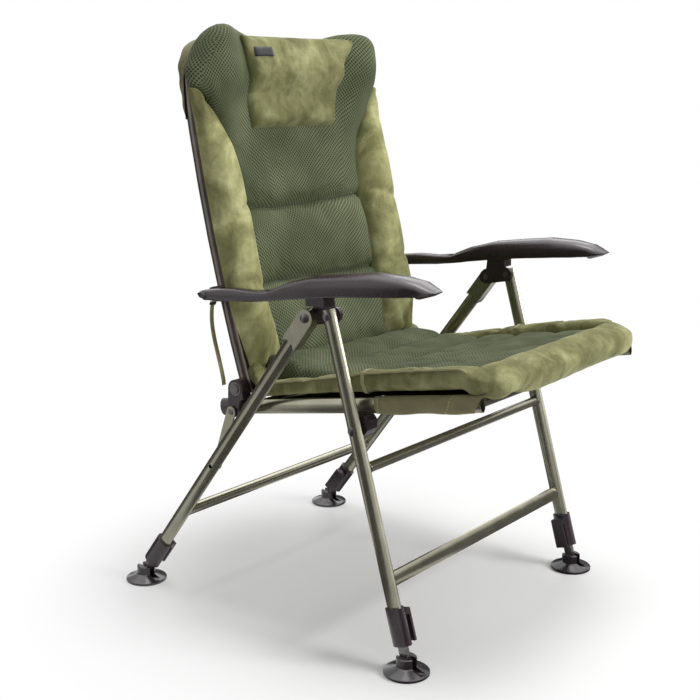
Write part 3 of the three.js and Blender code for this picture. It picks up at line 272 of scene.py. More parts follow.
def fleece(name, gain):
    """Crushed fleece: broad light and dark patches, streaks along the pile, a fine nap."""
    n = Surface(name)
    broad = n.noise(15.0, 5.0, 0.6, 0.5)
    streak = n.noise(1.0, 4.0, 0.6, 0.3, stretch=(60, 60, 20))
    nap = n.noise(900.0, 2.0, 0.7)
    patches = n.ramp(
        n.weigh(broad, streak, 0.24),
        (0.33, (0.078, 0.076, 0.028)),
        (0.45, (0.17, 0.168, 0.07)),
        (0.55, (0.29, 0.287, 0.135)),
        (0.67, (0.48, 0.476, 0.25)),
        gain=gain,
    )
    pile = n.ramp(nap, (0.3, (0.11, 0.108, 0.045)), (0.7, (0.4, 0.396, 0.21)), gain=gain)
    return n.finish(
        Base_Color=n.mix(0.24, patches, pile),
        Normal=n.bump(broad, 0.3, 0.006, before=n.bump(nap, 0.35, 0.0012)),
        Roughness=0.85,
        Sheen_Weight=0.35,
        Sheen_Roughness=0.35,
        Sheen_Tint=(0.8, 0.8, 0.5),
        Specular_IOR_Level=0.1,
    )


def air_mesh(name, gain, hole_shade):
    """Open knit mesh: a lattice of small holes, darkened as painted shade, laid along the cloth, or upright
    where it looks sideways.
    """
    pitch, side_facing = 0.0078, 0.78
    n = Surface(name)
    on_cloth, in_space = n.split(n.coords("UV")), n.split(n.coords("Object"))
    side = n.math("GREATER_THAN", n.math("ABSOLUTE", n.split(n.coords("Normal"))[0]), side_facing)
    front = n.less(1.0, side)
    u, v = (n.add(n.times(on_cloth[k], front), n.times(in_space[k + 1], side)) for k in (0, 1))
    lattice = n.times(n.wave("COSINE", u, pitch), n.wave("COSINE", v, pitch))
    holes = n.times(n.add(lattice, 0.12), 1.9, clamp=True)
    yarn = n.noise(1.0, 2.0, 0.6, stretch=(1500, 1500, 1500))
    knit = n.ramp(
        n.weigh(n.noise(9.0, 3.0, 0.5), yarn, 0.4),
        (0.35, (0.1, 0.116, 0.062)),
        (0.52, (0.165, 0.186, 0.104)),
        (0.7, (0.265, 0.288, 0.175)),
        gain=gain,
    )
    return n.finish(
        # The holes are mixed towards near black: painted shade inside them.
        Base_Color=n.mix(n.times(holes, hole_shade), knit, (0.016, 0.021, 0.011)),
        Normal=n.bump(n.less(n.times(yarn, 0.25), holes), 0.6, 0.0011),
        Roughness=0.78,
        Sheen_Weight=0.06,
        Sheen_Roughness=0.5,
        Sheen_Tint=(0.6, 0.68, 0.52),
        Specular_IOR_Level=0.08,
    )


def weave(name, dark, light, pitch=0.0011, seams=(), hem=0.0):
    """Plain woven cloth from crossed ribs; seams are sewn lines, each an axis and a place on it."""
    stitch, thread, pucker = 0.0062, 0.0008, 0.004
    n = Surface(name)
    uv = n.split(n.coords("UV"))
    ribs = n.times(n.wave("SINE", uv[0], pitch), n.wave("SINE", uv[1], pitch))
    ribs = n.add(n.times(ribs, 0.5), 0.5)
    colour = n.ramp(n.weigh(n.noise(16.0, 4.0, 0.6), ribs, 0.25), (0.3, dark), (0.7, light))
    normal = n.bump(ribs, 0.4, 0.0004)
    sewn = None
    for axis, place in seams:
        off = n.math("ABSOLUTE", n.less(uv[axis], place))
        dash = n.math("LESS_THAN", n.math("FRACT", n.math("DIVIDE", uv[1 - axis], stitch)), 0.66)
        line = n.times(n.math("LESS_THAN", off, thread), dash)
        groove = n.less(1.0, n.math("DIVIDE", off, pucker), clamp=True)
        normal = n.bump(n.less(line, groove), 0.5, 0.0012, normal)
        sewn = line if sewn is None else n.math("MAXIMUM", sewn, line)
    if hem:
        normal = n.bump(n.math("LESS_THAN", uv[0], hem), 0.6, 0.001, normal)
    if sewn is not None:
        colour = n.mix(n.times(sewn, 0.8), colour, tuple(min(1.0, 1.9 * c) for c in light))
    return n.finish(
        Base_Color=colour, Normal=normal, Roughness=0.62, Sheen_Weight=0.12, Specular_IOR_Level=0.2
    )


def tube_paint(name, low, high, metallic, rough):
    """Satin metallic paint, a little uneven, rubbed brighter here and there."""
    n = Surface(name)
    broad, grain = n.noise(22.0, 4.0, 0.6), n.noise(1600.0, 2.0, 0.6)
    return n.finish(
        Base_Color=n.ramp(n.weigh(broad, grain, 0.2), (0.3, low), (0.7, high)),
        Normal=n.bump(grain, 0.03, 0.0002),
        Roughness=n.add(n.times(broad, 0.1), rough - 0.05),
        Metallic=metallic,
    )


def moulded(name, low, high, rough):
    """Moulded plastic with a fine spark-eroded grain and faint scuffs."""
    n = Surface(name)
    broad, grain = n.noise(18.0, 4.0, 0.6), n.noise(1100.0, 3.0, 0.7)
    scuff = n.noise(1.0, 3.0, 0.6, stretch=(40, 220, 220))
    return n.finish(
        Base_Color=n.ramp(n.weigh(broad, grain, 0.3), (0.3, low), (0.72, high)),
        Normal=n.bump(grain, 0.18, 0.0006),
        Roughness=n.add(n.times(scuff, 0.16), rough - 0.08),
        Specular_IOR_Level=0.5,
    )


SLING_SEAMS = ((0, 0.014), (0, 0.4535), (1, 0.014), (1, 0.454), (1, 0.534))
# Two copies of one fleece: darkened (0.88) as painted shade for the roll and pillow, brightened (1.42) as
# painted light for the bolsters.
FLEECE_SHADED = fleece("fleece", 0.88)
FLEECE_LIT = fleece("fleece_lit", 1.42)
# The seat's copy of the air mesh is darkened 0.74 times as painted shade, since the seat faces up into the
# overhead light.
MESH = air_mesh("air_mesh", 1.0, 0.93)
MESH_SHADED = air_mesh("air_mesh_shaded", 0.74, 0.74)
NYLON = weave("nylon", (0.118, 0.106, 0.05), (0.215, 0.195, 0.1), seams=SLING_SEAMS)
SLEEVE = weave("sleeve", (0.165, 0.15, 0.074), (0.29, 0.265, 0.14), seams=((1, 0.006), (1, 0.139)))
HOOD_SEAMS = ((0, 0.018), (0, 0.0215))
HOOD = weave("hood", (0.17, 0.16, 0.084), (0.3, 0.286, 0.168), seams=HOOD_SEAMS, hem=0.02)
TAPE = weave("tape", (0.3, 0.25, 0.12), (0.52, 0.46, 0.27), pitch=0.0016)
PALE = weave("pale_tape", (0.52, 0.49, 0.36), (0.78, 0.75, 0.6), pitch=0.0016)
# A lighter olive for the roll's crest piping and side loops: a painted highlight.
PIPING_HIGHLIGHT = weave("piping_highlight", (0.3, 0.285, 0.14), (0.5, 0.48, 0.27))
# Near-black thread for the pad channels: painted shade in the creases.
THREAD_SHADE = weave("seam_shade_thread", (0.018, 0.022, 0.012), (0.05, 0.058, 0.034), pitch=0.0016)
TAB = weave("tab", (0.018, 0.018, 0.02), (0.05, 0.05, 0.052), pitch=0.0014)
PAINT = tube_paint("frame_paint", (0.24, 0.23, 0.172), (0.34, 0.328, 0.255), 0.85, 0.24)
DARK = tube_paint("dark_paint", (0.12, 0.098, 0.085), (0.205, 0.172, 0.15), 0.8, 0.3)
PLASTIC = moulded("plastic", (0.022, 0.013, 0.017), (0.044, 0.028, 0.035), 0.25)
FOOT = moulded("foot_plastic", (0.018, 0.013, 0.016), (0.036, 0.027, 0.032), 0.17)
BOLT = tube_paint("bolt_steel", (0.09, 0.08, 0.082), (0.2, 0.185, 0.185), 0.9, 0.32)
INNER = tube_paint("inner_tube", (0.12, 0.112, 0.104), (0.21, 0.2, 0.19), 0.9, 0.22)

# Nodes of the frame that are shown as they are
PLASTIC_NODES = ("arm_pivot_bolt", "leg_clamp", "clamp_lever", "hub_bracket")
PLASTIC_NODES += ("rail_end_cap", "seat_pivot_bracket", "back_hinge", "armrest")
DARK_NODES = ("back_frame", "seat_front_bar", "seat_rear_bar")


def node_material(name):
    if name.startswith(PLASTIC_NODES):
        return PLASTIC
    if "bolt" in name:
        return BOLT
    if name in DARK_NODES:
        return DARK
    if name.startswith("inner_leg"):
        return INNER
    return FOOT if name.startswith("foot_") else PAINT


for name, obj in frame["nodes"].items():
    obj.data.materials.clear()
    obj.data.materials.append(node_material(name))
    for face in obj.data.polygons:
        face.use_smooth = True
    weld = obj.modifiers.new("weld", "WELD")
    weld.merge_threshold = 1e-5
    split = obj.modifiers.new("creases", "EDGE_SPLIT")
    split.split_angle = math.radians(32)


# Meshes
def make(name, points, faces, material, uv=None, body=None):
    mesh = bpy.data.meshes.new(name)
    mesh.from_pydata([tuple(map(float, p)) for p in points], [], [tuple(map(int, f)) for f in faces])
    mesh.validate()
    mesh.shade_smooth()
    if uv is not None:
        layer = mesh.uv_layers.new(name="UVMap")
        index = np.zeros(len(mesh.loops), int)
        mesh.loops.foreach_get("vertex_index", index)
        layer.data.foreach_set("uv", np.asarray(uv, float)[index].ravel())
    mesh.materials.append(material)
    obj = bpy.data.objects.new(name, mesh)
    scene.collection.objects.link(obj)
    if body:
        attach(obj, body)
    return obj


def vertex_places(mesh):
    flat = np.zeros(len(mesh.vertices) * 3)
    mesh.vertices.foreach_get("co", flat)
    return flat.reshape(-1, 3)


def outward(points, faces):
    """Turns a closed mesh's faces to look out."""
    volume = 0.0
    for f in faces:
        for k in range(1, len(f) - 1):
            volume += np.dot(points[f[0]], np.cross(points[f[k]], points[f[k + 1]]))
    return [f[::-1] for f in faces] if volume < 0 else faces


def quads(rows, columns, wraps=False):
    """Faces of a grid of points; wraps closes each row into a ring."""
    faces = []
    for low in range(0, (rows - 1) * columns, columns):
        for k in range(columns if wraps else columns - 1):
            after = (k + 1) % columns
            faces.append((low + k, low + after, low + columns + after, low + columns + k))
    return faces


def tube_faces(rings, sections):
    """Faces of a tube of rings, with a flat cap at each end."""
    last = (rings - 1) * sections
    caps = [tuple(range(sections))[::-1], tuple(range(last, last + sections))]
    return quads(rings, sections, wraps=True) + caps


def hold(obj, held):
    """Names the points that the cloth simulation holds still."""
    group = obj.vertex_groups.new(name="pin")
    group.add([int(k) for k in np.nonzero(held)[0]], 1.0, "REPLACE")


def shell(name, us, vs, place, material, pin=None):
    """A closed pad from a front and a rear grid that meet along its rim; rim and rear are held."""
    nu, nv = len(us), len(vs)
    grid_u, grid_v = np.meshgrid(us, vs, indexing="ij")
    front, rear = place(grid_u, grid_v)
    across = run_along(front, 0)
    uv = np.stack([across - across[nu // 2], run_along(front, 1)], -1)
    points = [*front.reshape(-1, 3)]
    uvs = [*uv.reshape(-1, 2)]
    first = np.arange(nu * nv).reshape(nu, nv)
    second = first.copy()
    for i in range(1, nu - 1):
        for j in range(1, nv - 1):
            second[i, j] = len(points)
            points.append(rear[i, j])
            uvs.append(uv[i, j])
    behind = second.ravel()
    faces = []
    for a, b, c, d in quads(nu, nv):
        faces += [(a, d, c, b), tuple(behind[[a, b, c, d]])]
    points = np.array(points)
    obj = make(name, points, outward(points, faces), material, uvs)
    held = np.zeros(len(points), bool)
    held[behind] = True
    if pin is not None:
        held[first[pin(grid_u, grid_v)]] = True
    hold(obj, held)
    return obj


def loop_tube(name, rings, material):
    """A closed tube from rings of points, for rolls and cords."""
    rings = np.array(rings)
    n, m = rings.shape[:2]
    points = rings.reshape(-1, 3)
    steps = run_along(rings.mean(1))
    girth = np.linalg.norm(np.roll(rings[n // 2], -1, 0) - rings[n // 2], axis=1).sum()
    uv = [(girth * k / m, steps[i]) for i in range(n) for k in range(m)]
    return make(name, points, outward(points, tube_faces(n, m)), material, uv)


def round_ring(point, side, over, radius, sections):
    return [point + radius * (side * math.cos(t) + over * math.sin(t)) for t in turns(sections)]


# Seat panel: places are forward of the seat's pivot, heights above the middle of the rails
SEAT_BASE = 0.015
SEAT_LOW, SEAT_HIGH = -0.252, 0.278
SEAT_HALF, SIDE_ROLL, FRONT_ROLL = 0.268, 0.038, 0.072
UNDER_ROLL, SEAT_TAIL = 0.003, 0.044
PANEL_HALF = SEAT_HALF - SIDE_ROLL + UNDER_ROLL
PANEL_FRONT = SEAT_HIGH - FRONT_ROLL + UNDER_ROLL
PANEL_REAR = SEAT_LOW - SEAT_TAIL
PANEL_HEIGHT, PANEL_DISH = 0.029, 0.004
REAR_RISE, REAR_RISE_LEAN = 0.0345, 0.042
SEAT_CHANNELS = [SEAT_LOW + (PANEL_FRONT - SEAT_LOW) * share for share in (0.2, 0.4, 0.6, 0.8)]
CHANNEL_DEPTH, CHANNEL_WIDTH, CHANNEL_HELD = 0.0075, 0.0065, 0.004
SEAT_TAIL_THICK, SEAT_TAIL_UP, SEAT_TAIL_DROP = 0.0048, 0.0255, 0.03
FRONT_SKEW = 0.017


def skewed(x, fore):
    """The photographed pad's far front corner lies a little further back."""
    return fore - FRONT_SKEW * smooth(x, -0.1, 0.26) * smooth(fore, 0.05, 0.25)


def sewn(along, channels):
    return sum(bell(along, place, CHANNEL_HELD) for place in channels) > 0.5


def seat_waver(x, k):
    return 0.0012 * np.sin(x * 17 + k * 1.7)


def seat_panel_fore(v):
    return PANEL_REAR + (PANEL_FRONT - PANEL_REAR) * v


def seat_panel_place(u, v):
    """The padded panel; behind its last channel a thin tail of the cover goes down the crease."""
    fore = seat_panel_fore(v)
    behind = SEAT_LOW - fore
    half = PANEL_HALF * (1 - 0.06 * smooth(behind, -0.006, 0.008))
    x = (2 * u - 1) * half
    side_edge = half - np.abs(x)
    edge = least(side_edge, PANEL_FRONT - fore, -behind)
    tail = smooth(behind, -0.012, 0.0) * round_edge(np.minimum(side_edge, fore - PANEL_REAR), 0.008)
    fore = skewed(x, fore)
    height = PANEL_HEIGHT - PANEL_DISH * (1 - (x / PANEL_HALF) ** 2)
    height = height + (REAR_RISE - REAR_RISE_LEAN * x) * smooth(-fore, 0.06, 0.24) ** 1.3
    for k, place in enumerate(SEAT_CHANNELS):
        height = height - CHANNEL_DEPTH * bell(fore + seat_waver(x, k), place, CHANNEL_WIDTH)
    height = height + ripple(x, fore, 0.0008, (47, 21, 63, 19))
    middle = height * 0.42
    top = (height - middle) * round_edge(edge, 0.017)
    under = middle * round_edge(edge, 0.01)
    level = SEAT_BASE + middle + (SEAT_TAIL_UP - middle) * smooth(behind, -0.004, 0.01)
    level = level - SEAT_TAIL_DROP * smooth(behind, 0.002, 0.024)
    front = on_seat(x, fore, level + np.maximum(top, SEAT_TAIL_THICK * tail))
    rear = on_seat(x, fore, level - np.maximum(under, SEAT_TAIL_THICK * tail))
    return front, rear


def seat_panel_pin(u, v):
    fore = seat_panel_fore(v)
    return sewn(fore, SEAT_CHANNELS) | (fore < SEAT_LOW + 0.004)


us, vs = shares(60), shares(81)
seat_panel = shell("seat_panel", us, vs, seat_panel_place, MESH_SHADED, seat_panel_pin)

# Border roll round the seat panel
ROLL_TURN, ROLL_STEP, ROLL_FINE_STEP = 0.02, 0.0058, 0.0036
ROLL_SECTIONS = 28
SIDE_TOP, SIDE_TOP_GROWS, SIDE_BOTTOM, SIDE_BOTTOM_GROWS = 0.043, 0.015, 0.017, 0.005
FRONT_TOP, FRONT_BOTTOM = 0.056, -0.008
PINCH_SHARES = (0.24, 0.31, 0.47, 0.52, 0.76)


def roll_path():
    """Places along the middle of the roll: across, forward, and the angle at which it looks out."""
    side_x = SEAT_HALF - SIDE_ROLL / 2
    front_f = SEAT_HIGH - FRONT_ROLL / 2
    half = []
    for fore in np.arange(SEAT_LOW - 0.022, SEAT_LOW + 0.04, ROLL_FINE_STEP):
        half.append((side_x - 0.02 * smooth(-fore, -SEAT_LOW - 0.03, -SEAT_LOW + 0.018), fore, 0.0))
    for fore in np.arange(SEAT_LOW + 0.044, front_f - ROLL_TURN, ROLL_STEP):
        half.append((side_x, fore, 0.0))
    for angle in np.linspace(0, math.pi / 2, 9):
        x = side_x - ROLL_TURN + ROLL_TURN * math.cos(angle)
        half.append((x, front_f - ROLL_TURN + ROLL_TURN * math.sin(angle), angle))
    for x in np.arange(side_x - ROLL_TURN - ROLL_STEP, 0.0, -ROLL_STEP):
        half.append((x, front_f, math.pi / 2))
    return half + [(-x, fore, math.pi - angle) for x, fore, angle in reversed(half)]


def roll_rings(path):
    """Thin and upright at the sides, deep in front, pinched here and there, gathered at its ends."""
    steps = run_along(np.array([stop[:2] for stop in path]))
    total = steps[-1]
    corner = next(steps[k] for k, stop in enumerate(path) if stop[2] >= math.pi / 4)
    rings = []
    for (x, fore, angle), s in zip(path, steps):
        near = min(s, total - s)
        wide = smooth(near, corner - 0.036, corner + 0.02)
        top = SIDE_TOP + SIDE_TOP_GROWS * smooth(near, 0.02, corner * 0.75)
        bottom = SIDE_BOTTOM + SIDE_BOTTOM_GROWS * smooth(near, 0.02, 0.25)
        top += (FRONT_TOP - top) * wide
        bottom += (FRONT_BOTTOM - bottom) * wide
        bottom += 0.012 * bell(s, total - corner - 0.045, 0.05)
        gather = 1 - smooth(near, 0.02, 0.062)
        centre = (top + bottom) / 2 + 0.027 * gather**1.3
        half_h = (top - bottom) / 2 + 0.007 * gather**1.3
        half_w = 0.5 * (SIDE_ROLL + (FRONT_ROLL - SIDE_ROLL) * wide) * (1 + 0.15 * gather)
        squeeze = 1 - sum(0.09 * bell(near, corner * share, 0.0035) for share in PINCH_SHARES)
        squeeze -= sum(0.06 * bell(s, place, 0.0045) for place in (corner, total - corner))
        squeeze *= 1 - 0.3 * (1 - smooth(near, 0.0, 0.02))
        swell = 1 + (0.014 * math.sin(s * 52) + 0.01 * math.sin(s * 117 + 1.3)) * (1 - 0.5 * wide)
        pleat = 0.0042 * gather * math.sin(s * 690)
        reach_a, reach_b = half_w * (0.5 + 0.5 * squeeze) + pleat, half_h * squeeze * swell + pleat
        out = np.array([math.cos(angle), math.sin(angle)])
        ring = []
        for turn in turns(ROLL_SECTIONS):
            a, b = superellipse(turn, reach_a, reach_b, 3.4 - wide)
            above, below = max(0, math.sin(turn)), max(0, -math.sin(turn))
            crest = 0.001 * above * (1 - abs(math.cos(turn))) * math.sin(s * 73)
            share = np.clip((a / half_w + 1) / 2, 0, 1)
            droop = wide * (0.004 - 0.026 * share**1.4) * above
            tuck = -0.018 * smooth(near, corner + 0.015, corner + 0.09) * below * (a > 0)
            across, forward = np.array([x, fore]) + out * (a + tuck * a / half_w)
            ring.append(on_seat(across, skewed(across, forward), centre + b + crest + droop))
        rings.append(ring)
    return rings


path = roll_path()
rings = roll_rings(path)
seat_roll = loop_tube("seat_border_roll", rings, FLEECE_SHADED)
held = np.zeros((len(rings), ROLL_SECTIONS), bool)
lowest, inmost = ROLL_SECTIONS * 3 // 4, ROLL_SECTIONS // 2
held[:, lowest - 1 : lowest + 2] = held[:, inmost : inmost + 2] = held[[0, -1]] = True
hold(seat_roll, held.ravel())

# Back panel: places are up along the back's tubes, depths in front of their middle
BACK_HALF, BACK_FOOT_IN, EAR_OUT = 0.266, 0.02, 0.016
BACK_LOW, BACK_END = 0.016, -0.013
BACK_CHANNELS = (0.178, 0.326)
PAD_FRONT, PAD_BOW, TUBE_FRONT = 0.047, 0.03, 0.0148
EAR_DEPTH, EAR_HEIGHT, EAR_SHARE = 0.044, 0.023, 0.62
BACK_TAIL_HALF, BACK_TAIL_THICK, BACK_TAIL_BACK = 0.226, 0.0036, -0.008
BOLSTER_UPS = [0.0, 0.06, 0.3, 0.37, 0.44, 0.5, 0.535, 0.56]
BOLSTER_WIDTHS = [0.07, 0.082, 0.086, 0.083, 0.068, 0.042, 0.022, 0.004]


def back_outer(up):
    foot = smooth(up, 0.0, PAD_TOP / 4)
    ear = smooth(up, PAD_TOP * 0.75, PAD_TOP)
    return BACK_HALF - BACK_FOOT_IN * (1 - foot) + EAR_OUT * ear


def bolster_width(up):
    return np.interp(up, BOLSTER_UPS, BOLSTER_WIDTHS)


def back_rear(x, up):
    """The rear of the pads: on the sling between the tubes, and stepped over the tubes."""
    inside = BACK_X - TUBE_WIDTH / 2 - 0.003
    over_side = smooth(np.abs(x), inside - TUBE_WIDTH, inside)
    step = np.maximum(over_side, smooth(up, 0.47, 0.53))
    on_sling = -PAD_BOW * (1 - (np.minimum(np.abs(x), inside) / BACK_X) ** 2) + 0.0018
    return on_sling + (TUBE_FRONT - on_sling) * step


def back_waver(x, k):
    return 0.003 * np.sin(x * 13 + k * 2.1) + 0.0009 * np.sin(x * 71)


def ear_bulge(x, up):
    share = np.abs(x) / back_outer(up)
    crest = 0.735 - 0.045 * np.sign(x)
    return smooth(up, 0.43, 0.6) * bell(share, crest, 0.2)


def panel_front(x, up):
    share = np.clip(np.abs(x) / back_outer(up), 0, 1)
    bow = PAD_BOW * (1 - share**2) * (1 - smooth(up, 0.52, 0.575))
    front = PAD_FRONT - bow + EAR_DEPTH * ear_bulge(x, up)
    front = front - 0.014 * smooth(share, 0.8, 1.0) * smooth(up, 0.5, 0.6)
    for k, place in enumerate(BACK_CHANNELS):
        at = up + back_waver(x, k)
        seam = 0.01 * bell(at, place, 0.0095) + 0.0095 * bell(at, place, 0.0034)
        front = front - seam * (1 - 0.6 * smooth(share, 0.62, 0.95))
    front = front + 0.0035 * np.sin(np.clip((up - 0.02) / 0.31, 0, 1) * math.pi * 2) ** 2
    return front + ripple(x, up, 0.001, (53, 17, 59, 11))


def ear_top(across):
    peak = np.sin(np.minimum(np.abs(across) / EAR_SHARE, 1) * (math.pi / 2)) ** 4
    shoulder = smooth(np.abs(across), EAR_SHARE, 1.0)
    height = EAR_HEIGHT - 0.005 * np.sign(across)
    return PAD_TOP + height * peak - 0.085 * shoulder**1.3 * np.abs(across) ** 3


def back_panel_up(across, v):
    return BACK_END + (ear_top(across) - BACK_END) * v


def back_panel_place(u, v):
    """The padded panel; below its last seam a thin tail of the cover hangs behind the seat."""
    across = 2 * u - 1
    up = back_panel_up(across, v)
    below = BACK_LOW - up
    hanging = smooth(below, -0.002, 0.008)
    half = back_outer(up) - np.maximum(bolster_width(up) - 0.004, 0.0)
    half = half + (BACK_TAIL_HALF - half) * hanging
    x = across * half
    side_edge = half - np.abs(x)
    edge = least(side_edge, ear_top(across) - up, -below)
    full = round_edge(edge, 0.015 + 0.013 * smooth(up, 0.5, 0.6))
    rear, front = back_rear(x, up), panel_front(x, up)
    middle = rear + (front - rear) * 0.43
    level = middle + (BACK_TAIL_BACK - middle) * hanging
    tail = BACK_TAIL_THICK * hanging * round_edge(np.minimum(side_edge, up - BACK_END), 0.006)
    return (
        on_back(x, up, level + np.maximum((front - middle) * full, tail)),
        on_back(x, up, level - np.maximum((middle - rear) * round_edge(edge, 0.018), tail)),
    )


def back_panel_pin(u, v):
    across = 2 * u - 1
    up = back_panel_up(across, v)
    return sewn(up, BACK_CHANNELS) & (np.abs(across) < 0.94) | (up < BACK_LOW + 0.004)


def back_rows():
    """Shares of the panel's height, closer together at its seams and tail."""
    rows = [0.0]
    while rows[-1] < 0.998:
        seamed = rows[-1] < 0.075 or 0.262 < rows[-1] < 0.326 or 0.485 < rows[-1] < 0.585
        rows.append(rows[-1] + (0.0052 if seamed else 0.0108))
    return np.array(rows) / rows[-1]


back_panel = shell("back_panel", shares(62), back_rows(), back_panel_place, MESH, back_panel_pin)

# Side bolsters of the back
BOLSTER_LOW, BOLSTER_TOP = 0.022, 0.553
BOLSTER_SWELL = 0.034
BOLSTER_CREASES = ((0.335, 0.03), (0.17, -0.02))


def bolster_place(side):
    def place(u, v):
        up = BOLSTER_LOW + (BOLSTER_TOP - BOLSTER_LOW) * v
        outer = back_outer(up)
        width = bolster_width(up)
        x = outer - width * (1 - u)
        end = 1.2 * least(up - BOLSTER_LOW, BOLSTER_TOP - up)
        full_out = round_edge(least(width * (1 - u), 1.4 * (BOLSTER_TOP - up), end), 0.026)
        full = least(full_out, round_edge(least(width * u, end), 0.02))
        base = PAD_FRONT - PAD_BOW * (1 - np.clip(x / outer, 0, 1) ** 2)
        puff = np.sin(np.clip(u, 0, 1) ** 0.85 * math.pi) ** 0.8
        front = base + BOLSTER_SWELL * puff * (1 - smooth(up, 0.38, BOLSTER_TOP) * 0.85)
        gather = 1 - smooth(up, 0.035, 0.1)
        front = front - 0.016 * gather + 0.0062 * gather * np.sin(x * 330 + up * 25)
        front = front + ripple(u, up, 0.0014, (2.0, 37, 9.0, -5.0))
        for spot, slant in BOLSTER_CREASES:
            front = front - 0.0026 * bell(up + slant * u, spot, 0.007)
        rear = back_rear(x, up)
        middle = rear + (front - rear) * 0.4
        return (
            on_back(side * x, up, middle + (front - middle) * full),
            on_back(side * x, up, middle + (rear - middle) * full),
        )

    return place


us, vs = shares(16), shares(84)
bolsters = [
    shell(f"back_bolster_{word}", us, vs, bolster_place(side), FLEECE_LIT) for word, side in SIDES
]

# Head pillow: each side's half width at the bottom, and how much more it is at the top
PILLOW_LEFT, PILLOW_RIGHT = (0.112, 0.06), (0.122, 0.036)
PILLOW_TOP, PILLOW_LOW, PILLOW_CREASE = 0.646, 0.471, 0.552
PILLOW_CROWN, PILLOW_UNDER = 0.034, 0.005


def pillow_up(v):
    return PILLOW_LOW + (PILLOW_TOP - PILLOW_LOW) * v


def pillow_place(u, v):
    across = 2 * u - 1
    up = pillow_up(v)
    left, right = (low + grows * v for low, grows in (PILLOW_LEFT, PILLOW_RIGHT))
    left = left - 0.017 * bell(v, 0.62, 0.17) + 0.01 * smooth(v, 0.82, 1.0)
    half = np.where(across < 0, right, left)
    x = across * half
    edge = least(half - np.abs(x), PILLOW_TOP - up, up - PILLOW_LOW)
    rear = panel_front(x, np.minimum(up, PAD_TOP - 0.021)) - 0.003
    rear = rear - 0.03 * ear_bulge(x, up) * (x > 0)
    rear = np.where(x < 0, np.minimum(rear, 0.06), rear)
    crown = rear + PILLOW_CROWN - 0.008 * smooth(v, 0.55, 1.0)
    crease = bell(up - 0.02 * np.sin(x * 9), PILLOW_CREASE, 0.0075) * smooth(-x, 0.045, 0.12)
    crown = crown - 0.013 * crease - 0.004 * bell(up, 0.545, 0.01) * smooth(x, 0.06, 0.14)
    crown = crown + ripple(x, up, 0.0022, (61, 35, 83, 23))
    middle = rear + PILLOW_UNDER
    front = on_back(x, up, middle + (crown - middle) * round_edge(edge, 0.024))
    back = on_back(x, up, middle - PILLOW_UNDER * round_edge(edge, 0.012))
    return front, back


def pillow_pin(u, v):
    x = (2 * u - 1) * 0.14
    return (x < -0.095) & (np.abs(pillow_up(v) - PILLOW_CREASE) < 0.006)


us, vs = shares(50), shares(28)
pillow = shell("head_pillow", us, vs, pillow_place, FLEECE_SHADED, pillow_pin)

# Simulation: the pads are blown up a little as stuffed cloth
LAST_STEP = 20
CLOTH = dict(
    quality=4,
    mass=0.25,
    use_pressure=True,
    tension_stiffness=12,
    compression_stiffness=12,
    shear_stiffness=6,
    bending_stiffness=0.35,
    tension_damping=8,
    compression_damping=8,
    air_damping=3,
    vertex_group_mass="pin",
    pin_stiffness=2.0,
)


def simulate(pieces):
    """Takes pieces with their pressure, shrinking and the furthest that a point may move."""
    before = {}
    for obj, pressure, shrink, _ in pieces:
        before[obj.name] = vertex_places(obj.data)
        cloth = obj.modifiers.new("cloth", "CLOTH")
        for key, value in CLOTH.items():
            setattr(cloth.settings, key, value)
        cloth.settings.uniform_pressure_force = pressure
        cloth.settings.shrink_min = shrink
        cloth.settings.effector_weights.gravity = 0.0
        cloth.collision_settings.use_collision = False
        cloth.collision_settings.use_self_collision = False
        cloth.point_cache.frame_start = 1
        cloth.point_cache.frame_end = LAST_STEP
    for number in range(1, LAST_STEP + 1):
        scene.frame_set(number)
    graph = bpy.context.evaluated_depsgraph_get()
    for obj, _, _, cap in pieces:
        blown = obj.evaluated_get(graph)
        start = before[obj.name]
        way = np.nan_to_num(vertex_places(blown.to_mesh()) - start)
        blown.to_mesh_clear()
        size = np.linalg.norm(way, axis=1, keepdims=True)
        final = start + way * cap * np.tanh(size / cap) / np.maximum(size, 1e-9)
        obj.modifiers.clear()
        obj.data.vertices.foreach_set("co", final.ravel())
        obj.data.update()
    scene.frame_set(1)


simulate(
    [
        (seat_panel, 3.0, -0.015, 0.005),
        (seat_roll, 3.0, -0.012, 0.004),
        (back_panel, 3.0, -0.015, 0.006),
        (bolsters[0], 3.0, -0.012, 0.005),
        (bolsters[1], 3.0, -0.012, 0.005),
        (pillow, 4.0, -0.02, 0.007),
    ]
)


def flatten(obj, kind):
    """Gives a soft piece its own mesh; the plane that each kind would lie flat on as the chair folds is
    looked up but not used.
    """
    axis, anchor, keep = {
        "seat": (SEAT_UP, on_seat(0, 0, SEAT_BASE), 0.13),
        "panel": (back_out(0.445), on_back(0, 0.64, 0.015), 0.15),
        "bolster": (back_out(0.3), on_back(0, 0.3, 0.019), 0.15),
        "pillow": (back_out(0.56), on_back(0, 0.56, 0.022), 0.15),
    }[kind]
    tuple(map(float, anchor))
    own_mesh(obj)
    tuple(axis)


def finish_pad(obj, body, kind, node=None):
    layer = obj.modifiers.new("fine", "SUBSURF")
    layer.levels = layer.render_levels = 1
    obj.vertex_groups.clear()
    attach(obj, body)
    if node:
        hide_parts(node)
    flatten(obj, kind)


finish_pad(seat_panel, "seat", "seat", "seat_cushion")
finish_pad(seat_roll, "seat", "seat")
finish_pad(back_panel, "backrest", "panel", "back_cushion")
finish_pad(pillow, "backrest", "pillow", "pillow")
for obj in bolsters:
    finish_pad(obj, "backrest", "bolster")


